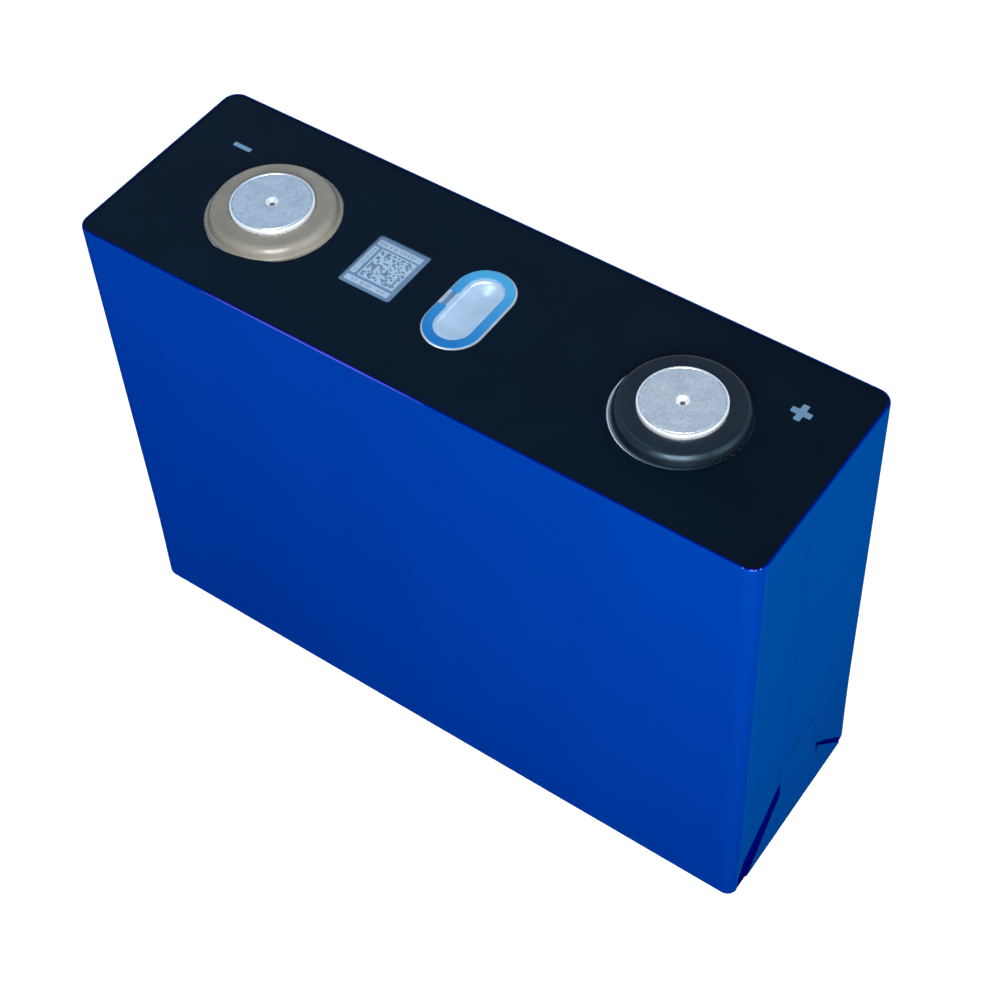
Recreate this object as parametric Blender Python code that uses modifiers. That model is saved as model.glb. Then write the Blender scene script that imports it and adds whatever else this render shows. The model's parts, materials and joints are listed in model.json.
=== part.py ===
"""Prismatic lithium iron phosphate battery cell, 160 x 50 x 116 mm, with two round weld terminals.

Frame: metres, +Z up. The origin is the centre of the bottom face. X runs along the cell's width, from the
negative terminal (-X) to the positive one (+X). Y runs through its thickness, and the front is -Y.

Run it with: blender --background --python part.py
"""

import math

import bmesh
import bpy

MM = 0.001

# ---------------------------------------------------------------- driving dimensions
CELL_WIDTH = 160.0 * MM
CELL_THICKNESS = 50.0 * MM
BODY_HEIGHT = 116.0 * MM
TERMINAL_RISE = 3.0 * MM  # terminal faces above the body
TERMINAL_SPACING = 97.0 * MM  # between the terminals' axes

FILM = 0.2 * MM  # wrap film, drawn twice as thick as the real one
GLUE = 0.1 * MM  # adhesive layer under a film
GAP = 0.3 * MM  # clearance between solid pieces
CORNER_RADIUS = 3.5 * MM  # upright corners, outside the film
CORNER_STEPS = 5
TURN_STEPS = 48
SMALL_TURN_STEPS = 32
WELD = 0.001 * MM  # points closer than this are one point
CUT_OVERSHOOT = 1.0 * MM  # how far a cutter stands clear of what it cuts
SLOT_ROUNDING = 0.45  # corner radius of a slot, as a share of its width

# Wrap film
LIP_WIDTH = 0.85 * MM  # the film turns in over the top edge
LIP_RADIUS = 0.6 * MM
FOOT_RADIUS = 1.0 * MM
FLAP_RISE = FILM  # a folded end flap is one more layer
FLAP_BASE_HALF = 23.5 * MM
FLAP_TONGUE_HALF = 7.5 * MM
FLAP_SHOULDER_Z = 21.0 * MM
FLAP_TOP_Z = 31.5 * MM

# Can and cap plate
CAN_WALL = 0.8 * MM
CAN_FLOOR = 1.5 * MM
CAN_FOOT_RADIUS = 0.8 * MM
PLATE_THICKNESS = 2.0 * MM
PLATE_DROP = 0.6 * MM  # plate's top below the film's lip

# Top film
TOP_FILM = 0.25 * MM
TOP_FILM_INSET = 0.15 * MM  # inside the lip's edge
CODE_WINDOW_CENTRE = (-20.3 * MM, -0.3 * MM)
CODE_WINDOW_SIZE = (12.7 * MM, 14.7 * MM)
CODE_WINDOW_RADIUS = 0.8 * MM
VENT_WINDOW_SIZE = (13.3 * MM, 23.3 * MM)
POSITIVE_HOLE_RADIUS = 13.8 * MM
NEGATIVE_HOLE_RADIUS = 14.0 * MM
POSITIVE_HOLE_SHIFT = (-0.25 * MM, -0.25 * MM)  # the film sits a little off the positive ring

# Pressure vent
VENT_OPENING = (7.0 * MM, 16.8 * MM)
VENT_LEDGE_WIDTH = 0.8 * MM
VENT_LEDGE_HEIGHT = 0.5 * MM
VENT_DISC_THICKNESS = 0.4 * MM
VENT_SCORE_INSET = 0.9 * MM
VENT_SCORE_WIDTH = 0.3 * MM
VENT_SCORE_DEPTH = 0.15 * MM
VENT_COVER_SIZE = (12.6 * MM, 22.6 * MM)
VENT_COVER_FILM = 0.15 * MM
VENT_RING_BAND = 2.2 * MM
VENT_RING_GAP = (-1.8 * MM, 2.3 * MM)  # the break in the ring that lets the vent breathe, along Y

# Filling hole
FILL_X = 21.0 * MM
FILL_HOLE_RADIUS = 1.8 * MM
FILL_SEAT_RADIUS = 4.3 * MM
FILL_SEAT_DEPTH = 1.1 * MM
FILL_CAP_THICKNESS = 0.7 * MM
FILL_CAP_CLEARANCE = 0.2 * MM
FILL_CAP_STEPS = 24
PLUG_CLEARANCE = 0.15 * MM
PLUG_PROUD = 0.05 * MM  # the plug above the seat
PLUG_STEPS = 16

# Terminals
DISC_RADIUS = 8.65 * MM
DISC_THICKNESS = 2.6 * MM
DISC_CHAMFER = 0.4 * MM
DIMPLE_RADIUS = 1.25 * MM
DIMPLE_PIT_RADIUS = 0.6 * MM
DIMPLE_CONE_DEPTH = 0.5 * MM
DIMPLE_DEPTH = 1.2 * MM
SHANK_RADIUS = 5.0 * MM
RIVET_RADIUS = 6.2 * MM
RIVET_THICKNESS = 0.8 * MM
SOCKET_DEPTH = 1.1 * MM  # how far the copper shank enters the negative disc
RING_BASE_RADIUS = 13.4 * MM
RING_SHOULDER_RADIUS = 12.7 * MM
RING_TOP_RADIUS = 12.2 * MM
RING_FLANGE_HEIGHT = 0.8 * MM
RING_HEIGHT = 2.6 * MM
RING_SHOULDER_DROP = 0.5 * MM
RING_FLOOR = 0.6 * MM
PLATE_HOLE_RADIUS = 7.0 * MM
SEAL_RADIUS = 6.8 * MM

# Under the cap plate
LOWER_INSULATOR = 2.1 * MM
LOWER_INSULATOR_HALF = 22.5 * MM
INSULATOR_CORNER = 1.5 * MM
SKIRT_WALL = 1.0 * MM
SKIRT_INNER_CORNER = 0.5 * MM
SKIRT_DEPTH = 3.5 * MM
INSULATOR_END_X = 77.0 * MM
INSULATOR_SPLIT_X = -13.5 * MM
GRILLE_SLOTS = 5
GRILLE_SLOT_SIZE = (5.0 * MM, 1.6 * MM)
GRILLE_PITCH = 3.2 * MM
COLLECTOR_DROP = 0.5 * MM
COLLECTOR_HALF = (18.0 * MM, 20.0 * MM)
COLLECTOR_RADIUS = 3.0 * MM
POSITIVE_COLLECTOR = 1.5 * MM
NEGATIVE_COLLECTOR = 1.2 * MM
FUSE_SLOT_SIZE = (2.4 * MM, 9.0 * MM)
FUSE_SLOT_OFFSET = (10.5 * MM, 13.0 * MM)

# Electrode cores
CORE_WIDTH = 151.0 * MM
CORE_THICKNESS = 22.6 * MM
CORE_END_FLAT = 0.02 * MM  # what is left straight between the two arcs of a round end
CORE_BOTTOM_Z = 4.0 * MM
CORE_TOP_Z = 103.0 * MM
TAB_FOIL = 0.8 * MM
TAB_WIDTH = 30.0 * MM
TAB_REACH = 7.5 * MM
TAB_BEND = 1.6 * MM
TAPE_SIZE = (22.0 * MM, 84.0 * MM)
TAPE_THICKNESS = 0.2 * MM
TAPE_CORNER = 1.0 * MM
BAG_FILM = 0.3 * MM
BAG_TOP_Z = 108.0 * MM
SUPPORT_THICKNESS = 1.0 * MM
SUPPORT_CLEARANCE = 1.5 * MM
SUPPORT_CORNER = 1.5 * MM
DRAIN_COLUMNS = 7
DRAIN_PITCH = 20.0 * MM
DRAIN_RADIUS = 2.0 * MM

# ---------------------------------------------------------------- worked-out places
WRAP_HALF_X = CELL_WIDTH / 2 - FLAP_RISE
WRAP_HALF_Y = CELL_THICKNESS / 2
CAN_HALF_X = WRAP_HALF_X - FILM - GLUE
CAN_HALF_Y = WRAP_HALF_Y - FILM - GLUE
CAN_RADIUS = CORNER_RADIUS - FILM - GLUE
CAN_BOTTOM_Z = FILM + GLUE
CAN_INSIDE_X = CAN_HALF_X - CAN_WALL
CAN_INSIDE_Y = CAN_HALF_Y - CAN_WALL
PLATE_TOP_Z = BODY_HEIGHT - PLATE_DROP
PLATE_BOTTOM_Z = PLATE_TOP_Z - PLATE_THICKNESS
ON_PLATE_Z = PLATE_TOP_Z + GLUE
DISC_TOP_Z = BODY_HEIGHT + TERMINAL_RISE
DISC_BOTTOM_Z = DISC_TOP_Z - DISC_THICKNESS
RING_TOP_Z = ON_PLATE_Z + RING_HEIGHT
RING_FLOOR_Z = ON_PLATE_Z + RING_FLOOR
INSULATOR_TOP_Z = PLATE_BOTTOM_Z - GAP
INSULATOR_BOTTOM_Z = INSULATOR_TOP_Z - LOWER_INSULATOR
COLLECTOR_TOP_Z = INSULATOR_BOTTOM_Z - COLLECTOR_DROP
VENT_DISC_BOTTOM_Z = PLATE_BOTTOM_Z + VENT_LEDGE_HEIGHT + GLUE
VENT_DISC_TOP_Z = VENT_DISC_BOTTOM_Z + VENT_DISC_THICKNESS
CORE_CENTRE_Y = GAP + CORE_THICKNESS / 2


# ---------------------------------------------------------------- scene, materials and collections
def clear_scene():
    for obj in list(bpy.data.objects):
        bpy.data.objects.remove(obj, do_unlink=True)


def make_collection(name):
    collection = bpy.data.collections.new(name)
    bpy.context.scene.collection.children.link(collection)
    return collection


def make_material(name, colour, roughness, metallic=0.0, alpha=1.0):
    material = bpy.data.materials.new(name)
    material.use_nodes = True
    shader = material.node_tree.nodes["Principled BSDF"]
    shader.inputs["Base Color"].default_value = (*colour, 1.0)
    shader.inputs["Roughness"].default_value = roughness
    shader.inputs["Metallic"].default_value = metallic
    shader.inputs["Alpha"].default_value = alpha
    return material


def place(name, data, material, collection):
    """A new object for this mesh or curve, with its material, in its collection."""
    obj = bpy.data.objects.new(name, data)
    data.materials.append(material)
    collection.objects.link(obj)
    return obj


def as_mesh(obj):
    """Swaps a curve object for a mesh one of the same name and place, with its caps welded to its sides."""
    bpy.context.view_layer.update()
    graph = bpy.context.evaluated_depsgraph_get()
    mesh = bpy.data.meshes.new_from_object(obj.evaluated_get(graph))
    welded = bmesh.new()
    welded.from_mesh(mesh)
    bmesh.ops.remove_doubles(welded, verts=welded.verts, dist=WELD)
    bmesh.ops.recalc_face_normals(welded, faces=welded.faces)
    welded.to_mesh(mesh)
    welded.free()
    name = obj.name
    matrix = obj.matrix_world.copy()
    collection = obj.users_collection[0]
    bpy.data.objects.remove(obj, do_unlink=True)
    made = bpy.data.objects.new(name, mesh)
    made.matrix_world = matrix
    collection.objects.link(made)
    return made


def boolean(obj, operation, other):
    modifier = obj.modifiers.new(f"{operation.lower()}_{other.name}", "BOOLEAN")
    modifier.operation = operation
    modifier.object = other


def as_tool(obj):
    """A cutter or an addition isn't a piece of its own."""
    obj.hide_render = True
    obj.display_type = "WIRE"
    return obj


# ---------------------------------------------------------------- outlines, as lists of (x, y)
def arc(centre, radius, start, end, steps):
    """Points along an arc, from angle start to angle end in degrees, both ends included."""
    angles = [math.radians(start + (end - start) * i / steps) for i in range(steps + 1)]
    return [(centre[0] + radius * math.cos(a), centre[1] + radius * math.sin(a)) for a in angles]


def circle(centre, radius, steps=TURN_STEPS):
    return arc(centre, radius, 0, 360 - 360 / steps, steps - 1)


def rounded_rectangle(centre, size, radius, steps=CORNER_STEPS):
    x, y = size[0] / 2 - radius, size[1] / 2 - radius
    corners = [(x, y, 0), (-x, y, 90), (-x, -y, 180), (x, -y, 270)]
    points = []
    for cx, cy, start in corners:
        points += arc((centre[0] + cx, centre[1] + cy), radius, start, start + 90, steps)
    return points


def pill(size, steps=12):
    """A slot shape with round ends, standing along Y and centred on the origin."""
    radius = size[0] / 2
    straight = size[1] / 2 - radius
    return arc((0, straight), radius, 0, 180, steps) + arc((0, -straight), radius, 180, 360, steps)


def broken_pill_ring(size, band, gap, steps=12):
    """A pill-shaped band with a break in its left side, between the two Y values of gap."""

    def open_pill(width, length):
        radius = width / 2
        straight = length / 2 - radius
        top = arc((0, straight), radius, 180, 0, steps)
        bottom = arc((0, -straight), radius, 0, -180, steps)
        return [(-radius, gap[1]), *top, *bottom, (-radius, gap[0])]

    outer = open_pill(*size)
    inner = open_pill(size[0] - 2 * band, size[1] - 2 * band)
    return outer + inner[::-1]


# ---------------------------------------------------------------- ways of making a piece
def flat_piece(name, outlines, low, high, material, collection):
    """A plate between two heights. The first outline is its edge, and the others are holes."""
    curve = bpy.data.curves.new(name, "CURVE")
    curve.dimensions = "2D"
    curve.fill_mode = "BOTH"
    curve.extrude = (high - low) / 2
    for points in outlines:
        spline = curve.splines.new("POLY")
        spline.points.add(len(points) - 1)
        for point, (x, y) in zip(spline.points, points):
            point.co = (x, y, 0, 1)
        spline.use_cyclic_u = True
    obj = place(name, curve, material, collection)
    obj.location.z = (low + high) / 2
    return obj


def turned_piece(name, profile, centre_x, steps, material, collection):
    """A turned shape about an upright axis. The profile is (radius, z), down its outer side.
    It is closed for a ring, and starts and ends on the axis for a solid one."""
    shape = bmesh.new()
    points = [shape.verts.new((radius, 0, z)) for radius, z in profile]
    for first, second in zip(points, points[1:]):
        shape.edges.new((first, second))
    if profile[0][0] > 0:
        shape.edges.new((points[-1], points[0]))
    mesh = bpy.data.meshes.new(name)
    shape.to_mesh(mesh)
    shape.free()
    obj = place(name, mesh, material, collection)
    obj.location.x = centre_x
    screw = obj.modifiers.new("turn", "SCREW")
    screw.axis = "Z"
    screw.steps = steps
    screw.render_steps = steps
    screw.use_merge_vertices = True
    screw.merge_threshold = WELD
    screw.use_smooth_shade = True
    return obj


def upright_edges(shape):
    return [e for e in shape.edges if abs(e.verts[0].co.z - e.verts[1].co.z) > 1 * MM]


def ring_edges(shape, z):
    """The edges round the outside at this height."""
    level = [e for e in shape.edges if all(abs(v.co.z - z) < WELD for v in e.verts)]
    return [e for e in level if any(abs(f.normal.z) < 0.5 for f in e.link_faces)]


def rounded_box_shape(half_x, half_y, low, high, radius):
    """A bmesh box with rounded upright corners."""
    shape = bmesh.new()
    bmesh.ops.create_cube(shape, size=1)
    bmesh.ops.scale(shape, vec=(2 * half_x, 2 * half_y, high - low), verts=shape.verts)
    bmesh.ops.translate(shape, vec=(0, 0, (low + high) / 2), verts=shape.verts)
    bmesh.ops.bevel(
        shape, geom=upright_edges(shape), offset=radius, segments=CORNER_STEPS, profile=0.5, affect="EDGES"
    )
    return shape


def round_ring(shape, z, radius, segments):
    shape.normal_update()
    bmesh.ops.bevel(
        shape, geom=ring_edges(shape, z), offset=radius, segments=segments, profile=0.5, affect="EDGES"
    )


def finish_shape(name, shape, material, collection):
    bmesh.ops.recalc_face_normals(shape, faces=shape.faces)
    mesh = bpy.data.meshes.new(name)
    shape.to_mesh(mesh)
    shape.free()
    mesh.shade_smooth()
    mesh.set_sharp_from_angle(angle=math.radians(30))
    return place(name, mesh, material, collection)


def delete_top(shape, z):
    top = [f for f in shape.faces if f.normal.z > 0.9 and abs(f.calc_center_median().z - z) < WELD]
    bmesh.ops.delete(shape, geom=top, context="FACES")


def solidify(obj, thickness):
    modifier = obj.modifiers.new("wall", "SOLIDIFY")
    modifier.thickness = thickness
    modifier.offset = -1
    modifier.use_even_offset = True


# ---------------------------------------------------------------- outside: wrap film, can and cap plate
def end_flap(name, side, tools, material):
    """The folded end of the wrap film: a mitred flap with a narrow tongue, on the +X or -X face."""
    half = [
        (FLAP_BASE_HALF, FOOT_RADIUS),
        (FLAP_TONGUE_HALF, FLAP_SHOULDER_Z),
        (FLAP_TONGUE_HALF, FLAP_TOP_Z),
    ]
    outline = half + [(-y, z) for y, z in reversed(half)]
    inner = WRAP_HALF_X - FILM / 2
    flap = flat_piece(name, [outline], 0, CELL_WIDTH / 2 - inner, material, tools)
    flap.rotation_euler = (math.pi / 2, 0, math.pi / 2)
    flap.location = (side * (inner + CELL_WIDTH / 2) / 2, 0, 0)
    return as_tool(as_mesh(flap))


def make_wrap_film(parts, tools, material):
    shape = rounded_box_shape(WRAP_HALF_X, WRAP_HALF_Y, 0, BODY_HEIGHT, CORNER_RADIUS)
    shape.normal_update()
    top = [f for f in shape.faces if f.normal.z > 0.9]
    bmesh.ops.inset_region(shape, faces=top, thickness=LIP_WIDTH, use_even_offset=True)
    bmesh.ops.delete(shape, geom=top, context="FACES")
    round_ring(shape, BODY_HEIGHT, LIP_RADIUS, 3)
    round_ring(shape, 0, FOOT_RADIUS, 3)
    wrap = finish_shape("wrap_film", shape, material, parts)
    solidify(wrap, FILM)
    boolean(wrap, "UNION", end_flap("positive_end_flap", 1, tools, material))
    boolean(wrap, "UNION", end_flap("negative_end_flap", -1, tools, material))


def make_can(parts, tools, material):
    shape = rounded_box_shape(CAN_HALF_X, CAN_HALF_Y, CAN_BOTTOM_Z, PLATE_TOP_Z, CAN_RADIUS)
    round_ring(shape, CAN_BOTTOM_Z, CAN_FOOT_RADIUS, 3)
    can = finish_shape("can", shape, material, parts)
    floor = CAN_BOTTOM_Z + CAN_FLOOR
    above = PLATE_TOP_Z + CUT_OVERSHOOT
    hollow = rounded_box_shape(CAN_INSIDE_X, CAN_INSIDE_Y, floor, above, CAN_RADIUS - CAN_WALL)
    boolean(can, "DIFFERENCE", as_tool(finish_shape("can_hollow", hollow, material, tools)))


def make_cap_plate(parts, tools, material):
    """The lid: two terminal holes, a stepped vent opening and a filling hole with a seat."""
    size = (2 * (CAN_INSIDE_X - GAP), 2 * (CAN_INSIDE_Y - GAP))
    vent_through = tuple(side - 2 * VENT_LEDGE_WIDTH for side in VENT_OPENING)
    outlines = [
        rounded_rectangle((0, 0), size, CAN_RADIUS - CAN_WALL - GAP),
        circle((TERMINAL_SPACING / 2, 0), PLATE_HOLE_RADIUS, SMALL_TURN_STEPS),
        circle((-TERMINAL_SPACING / 2, 0), PLATE_HOLE_RADIUS, SMALL_TURN_STEPS),
        circle((FILL_X, 0), FILL_HOLE_RADIUS, PLUG_STEPS),
        pill(vent_through),
    ]
    plate = as_mesh(flat_piece("cap_plate", outlines, PLATE_BOTTOM_Z, PLATE_TOP_Z, material, parts))
    above = PLATE_TOP_Z + CUT_OVERSHOOT
    ledge = PLATE_BOTTOM_Z + VENT_LEDGE_HEIGHT
    vent_step = flat_piece("vent_step", [pill(VENT_OPENING)], ledge, above, material, tools)
    seat_outline = circle((FILL_X, 0), FILL_SEAT_RADIUS, FILL_CAP_STEPS)
    seat_low = PLATE_TOP_Z - FILL_SEAT_DEPTH
    fill_seat = flat_piece("fill_seat", [seat_outline], seat_low, above, material, tools)
    boolean(plate, "DIFFERENCE", as_tool(as_mesh(vent_step)))
    boolean(plate, "DIFFERENCE", as_tool(as_mesh(fill_seat)))


def make_top_film(parts, material):
    """The black insulating sheet, with openings for the terminals, the vent and the etched code."""
    inset = LIP_WIDTH + TOP_FILM_INSET
    size = (2 * (WRAP_HALF_X - inset), 2 * (WRAP_HALF_Y - inset))
    positive = (TERMINAL_SPACING / 2 + POSITIVE_HOLE_SHIFT[0], POSITIVE_HOLE_SHIFT[1])
    outlines = [
        rounded_rectangle((0, 0), size, CORNER_RADIUS - inset),
        circle(positive, POSITIVE_HOLE_RADIUS),
        circle((-TERMINAL_SPACING / 2, 0), NEGATIVE_HOLE_RADIUS),
        pill(VENT_WINDOW_SIZE),
        rounded_rectangle(CODE_WINDOW_CENTRE, CODE_WINDOW_SIZE, CODE_WINDOW_RADIUS, 3),
    ]
    flat_piece("top_insulator_film", outlines, ON_PLATE_Z, ON_PLATE_Z + TOP_FILM, material, parts)


# ---------------------------------------------------------------- vent and filling hole
def make_vent(parts, tools, metal, blue, clear):
    """The burst disc with its oval score line, the broken blue adhesive ring, and the clear cover film."""
    disc_size = tuple(side - 2 * GLUE for side in VENT_OPENING)
    disc = flat_piece("vent_disc", [pill(disc_size)], VENT_DISC_BOTTOM_Z, VENT_DISC_TOP_Z, metal, parts)
    disc = as_mesh(disc)
    score_outer = tuple(side - 2 * VENT_SCORE_INSET for side in disc_size)
    score_inner = tuple(side - 2 * VENT_SCORE_WIDTH for side in score_outer)
    score_outlines = [pill(score_outer), pill(score_inner)]
    score_low = VENT_DISC_TOP_Z - VENT_SCORE_DEPTH
    score = flat_piece("score_line", score_outlines, score_low, PLATE_TOP_Z, metal, tools)
    boolean(disc, "DIFFERENCE", as_tool(as_mesh(score)))

    ring_high = ON_PLATE_Z + FILM
    ring = broken_pill_ring(VENT_COVER_SIZE, VENT_RING_BAND, VENT_RING_GAP)
    flat_piece("vent_adhesive_ring", [ring], ON_PLATE_Z, ring_high, blue, parts)
    cover_low = ring_high + GLUE / 2
    cover = [pill(VENT_COVER_SIZE)]
    flat_piece("vent_cover_film", cover, cover_low, cover_low + VENT_COVER_FILM, clear, parts)


def make_filling_plug(parts, rubber, metal):
    """The rubber plug in the filling hole, and the welded metal cap over it."""
    seat_z = PLATE_TOP_Z - FILL_SEAT_DEPTH
    plug_radius = FILL_HOLE_RADIUS - PLUG_CLEARANCE
    plug_top = seat_z + PLUG_PROUD
    plug_low = PLATE_BOTTOM_Z
    plug_profile = [(0, plug_top), (plug_radius, plug_top), (plug_radius, plug_low), (0, plug_low)]
    turned_piece("fill_plug", plug_profile, FILL_X, PLUG_STEPS, rubber, parts)
    cap_bottom = plug_top + GLUE
    cap_top = cap_bottom + FILL_CAP_THICKNESS
    cap_radius = FILL_SEAT_RADIUS - FILL_CAP_CLEARANCE
    cap_profile = [(0, cap_top), (cap_radius, cap_top), (cap_radius, cap_bottom), (0, cap_bottom)]
    turned_piece("fill_seal_cap", cap_profile, FILL_X, FILL_CAP_STEPS, metal, parts)


# ---------------------------------------------------------------- terminals
def disc_top_profile():
    """The weld face: a central dimple, a flat and a chamfered rim."""
    return [
        (0, DISC_TOP_Z - DIMPLE_DEPTH),
        (DIMPLE_PIT_RADIUS, DISC_TOP_Z - DIMPLE_DEPTH),
        (DIMPLE_PIT_RADIUS, DISC_TOP_Z - DIMPLE_CONE_DEPTH),
        (DIMPLE_RADIUS, DISC_TOP_Z),
        (DISC_RADIUS - DISC_CHAMFER, DISC_TOP_Z),
        (DISC_RADIUS, DISC_TOP_Z - DISC_CHAMFER),
        (DISC_RADIUS, DISC_BOTTOM_Z),
    ]


def shank_profile(collector):
    """From the shank's top down to the head riveted under the current collector, and the axis."""
    head_top = COLLECTOR_TOP_Z - collector - GAP
    head_bottom = head_top - RIVET_THICKNESS
    return [
        (SHANK_RADIUS, head_top),
        (RIVET_RADIUS, head_top),
        (RIVET_RADIUS, head_bottom),
        (0, head_bottom),
    ]


def make_positive_post(parts, metal):
    profile = disc_top_profile() + [(SHANK_RADIUS, DISC_BOTTOM_Z)] + shank_profile(POSITIVE_COLLECTOR)
    turned_piece("positive_terminal_post", profile, TERMINAL_SPACING / 2, TURN_STEPS, metal, parts)


def make_negative_post(parts, metal, copper):
    """An aluminium weld disc, joined to a copper shank that enters it from below."""
    socket_radius = SHANK_RADIUS + GAP
    socket_top = DISC_BOTTOM_Z + SOCKET_DEPTH
    socket = [(socket_radius, DISC_BOTTOM_Z), (socket_radius, socket_top), (0, socket_top)]
    disc_profile = disc_top_profile() + socket
    turned_piece("negative_terminal_disc", disc_profile, -TERMINAL_SPACING / 2, TURN_STEPS, metal, parts)
    shank_top = socket_top - GAP
    profile = [(0, shank_top), (SHANK_RADIUS, shank_top)] + shank_profile(NEGATIVE_COLLECTOR)
    turned_piece("negative_terminal_shank", profile, -TERMINAL_SPACING / 2, SMALL_TURN_STEPS, copper, parts)


def make_insulator_ring(name, centre_x, parts, material):
    """The moulded cup round a terminal disc: a flange, a leaning side, a rounded shoulder and a floor."""
    bore = DISC_RADIUS + GAP
    profile = [
        (bore, RING_TOP_Z),
        (RING_TOP_RADIUS, RING_TOP_Z),
        (RING_SHOULDER_RADIUS, RING_TOP_Z - RING_SHOULDER_DROP),
        (RING_BASE_RADIUS, ON_PLATE_Z + RING_FLANGE_HEIGHT),
        (RING_BASE_RADIUS, ON_PLATE_Z),
        (PLATE_HOLE_RADIUS, ON_PLATE_Z),
        (PLATE_HOLE_RADIUS, RING_FLOOR_Z),
        (bore, RING_FLOOR_Z),
    ]
    turned_piece(name, profile, centre_x, TURN_STEPS, material, parts)


def make_seal_ring(name, centre_x, parts, material):
    inner = SHANK_RADIUS + GAP / 2
    top = DISC_BOTTOM_Z - GLUE
    bottom = INSULATOR_TOP_Z + GLUE
    profile = [(inner, top), (SEAL_RADIUS, top), (SEAL_RADIUS, bottom), (inner, bottom)]
    turned_piece(name, profile, centre_x, SMALL_TURN_STEPS, material, parts)


# ---------------------------------------------------------------- under the cap plate
def make_lower_insulator(name, low_x, high_x, holes, parts, tools, material):
    """A plastic plate with a skirt that holds the cores down and off the cap plate."""
    centre = ((low_x + high_x) / 2, 0)
    size = (high_x - low_x, 2 * LOWER_INSULATOR_HALF)
    edge = rounded_rectangle(centre, size, INSULATOR_CORNER, 3)
    plate = flat_piece(name, [edge, *holes], INSULATOR_BOTTOM_Z, INSULATOR_TOP_Z, material, parts)
    plate = as_mesh(plate)
    inner_size = tuple(side - 2 * SKIRT_WALL for side in size)
    inner = rounded_rectangle(centre, inner_size, SKIRT_INNER_CORNER, 3)
    skirt_high = INSULATOR_BOTTOM_Z + LOWER_INSULATOR / 2
    skirt_low = INSULATOR_BOTTOM_Z - SKIRT_DEPTH
    skirt = flat_piece(f"{name}_skirt", [edge, inner], skirt_low, skirt_high, material, tools)
    boolean(plate, "UNION", as_tool(as_mesh(skirt)))


def make_lower_insulators(parts, tools, material):
    shank_hole = SHANK_RADIUS + GAP
    positive_holes = [
        circle((TERMINAL_SPACING / 2, 0), shank_hole, SMALL_TURN_STEPS),
        circle((FILL_X, 0), FILL_HOLE_RADIUS, PLUG_STEPS),
    ]
    corner = GRILLE_SLOT_SIZE[1] * SLOT_ROUNDING
    for slot in range(GRILLE_SLOTS):
        y = (slot - (GRILLE_SLOTS - 1) / 2) * GRILLE_PITCH
        positive_holes.append(rounded_rectangle((0, y), GRILLE_SLOT_SIZE, corner, 3))
    negative_holes = [circle((-TERMINAL_SPACING / 2, 0), shank_hole, SMALL_TURN_STEPS)]
    halves = [
        ("positive_lower_insulator", INSULATOR_SPLIT_X + GAP, INSULATOR_END_X, positive_holes),
        ("negative_lower_insulator", -INSULATOR_END_X, INSULATOR_SPLIT_X, negative_holes),
    ]
    for name, low_x, high_x, holes in halves:
        make_lower_insulator(name, low_x, high_x, holes, parts, tools, material)


def make_collector(name, centre_x, thickness, fused, parts, material):
    """The plate that joins the cores' tabs to a terminal shank. The positive one has fuse slots."""
    size = tuple(2 * half for half in COLLECTOR_HALF)
    outlines = [
        rounded_rectangle((centre_x, 0), size, COLLECTOR_RADIUS, 4),
        circle((centre_x, 0), SHANK_RADIUS + GAP, SMALL_TURN_STEPS),
    ]
    if fused:
        corner = FUSE_SLOT_SIZE[0] * SLOT_ROUNDING
        for side_x in (-1, 1):
            for side_y in (-1, 1):
                centre = (centre_x + side_x * FUSE_SLOT_OFFSET[0], side_y * FUSE_SLOT_OFFSET[1])
                outlines.append(rounded_rectangle(centre, FUSE_SLOT_SIZE, corner, 3))
    flat_piece(name, outlines, COLLECTOR_TOP_Z - thickness, COLLECTOR_TOP_Z, material, parts)


# ---------------------------------------------------------------- cores, tabs and what holds them
def make_core(name, side_y, parts, material):
    """A wound electrode core: a flattened roll with round ends, standing on its winding axis."""
    centre = (0, side_y * CORE_CENTRE_Y)
    size = (CORE_WIDTH, CORE_THICKNESS)
    outline = rounded_rectangle(centre, size, (CORE_THICKNESS - CORE_END_FLAT) / 2, 10)
    flat_piece(name, [outline], CORE_BOTTOM_Z, CORE_TOP_Z, material, parts)


def make_tab(name, side_y, centre_x, thickness, parts, material):
    """A stack of foils that rises from a core and bends outwards under the collector."""
    top = COLLECTOR_TOP_Z - thickness - GAP
    bottom = CORE_TOP_Z + GAP
    bend = arc((TAB_BEND, top - TAB_BEND), TAB_BEND, 180, 90, 4)
    path = [(0, bottom), *bend, (TAB_REACH, top)]
    shape = bmesh.new()
    rows = []
    for x in (centre_x - TAB_WIDTH / 2, centre_x + TAB_WIDTH / 2):
        rows.append([shape.verts.new((x, side_y * (CORE_CENTRE_Y + out), z)) for out, z in path])
    for i in range(len(path) - 1):
        corners = (rows[0][i], rows[1][i], rows[1][i + 1], rows[0][i + 1])
        shape.faces.new(corners if side_y > 0 else corners[::-1])
    mesh = bpy.data.meshes.new(name)
    shape.to_mesh(mesh)
    shape.free()
    tab = place(name, mesh, material, parts)
    solidify(tab, TAB_FOIL)


def make_tape(name, side_y, parts, material):
    """The strip that stops a core from unwinding, on its outer face."""
    low = CORE_CENTRE_Y + CORE_THICKNESS / 2 + GLUE
    outline = rounded_rectangle((0, (CORE_BOTTOM_Z + CORE_TOP_Z) / 2), TAPE_SIZE, TAPE_CORNER, 2)
    tape = flat_piece(name, [outline], 0, TAPE_THICKNESS, material, parts)
    tape.rotation_euler = (math.pi / 2, 0, 0)
    tape.location = (0, side_y * (low + TAPE_THICKNESS / 2), 0)


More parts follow.
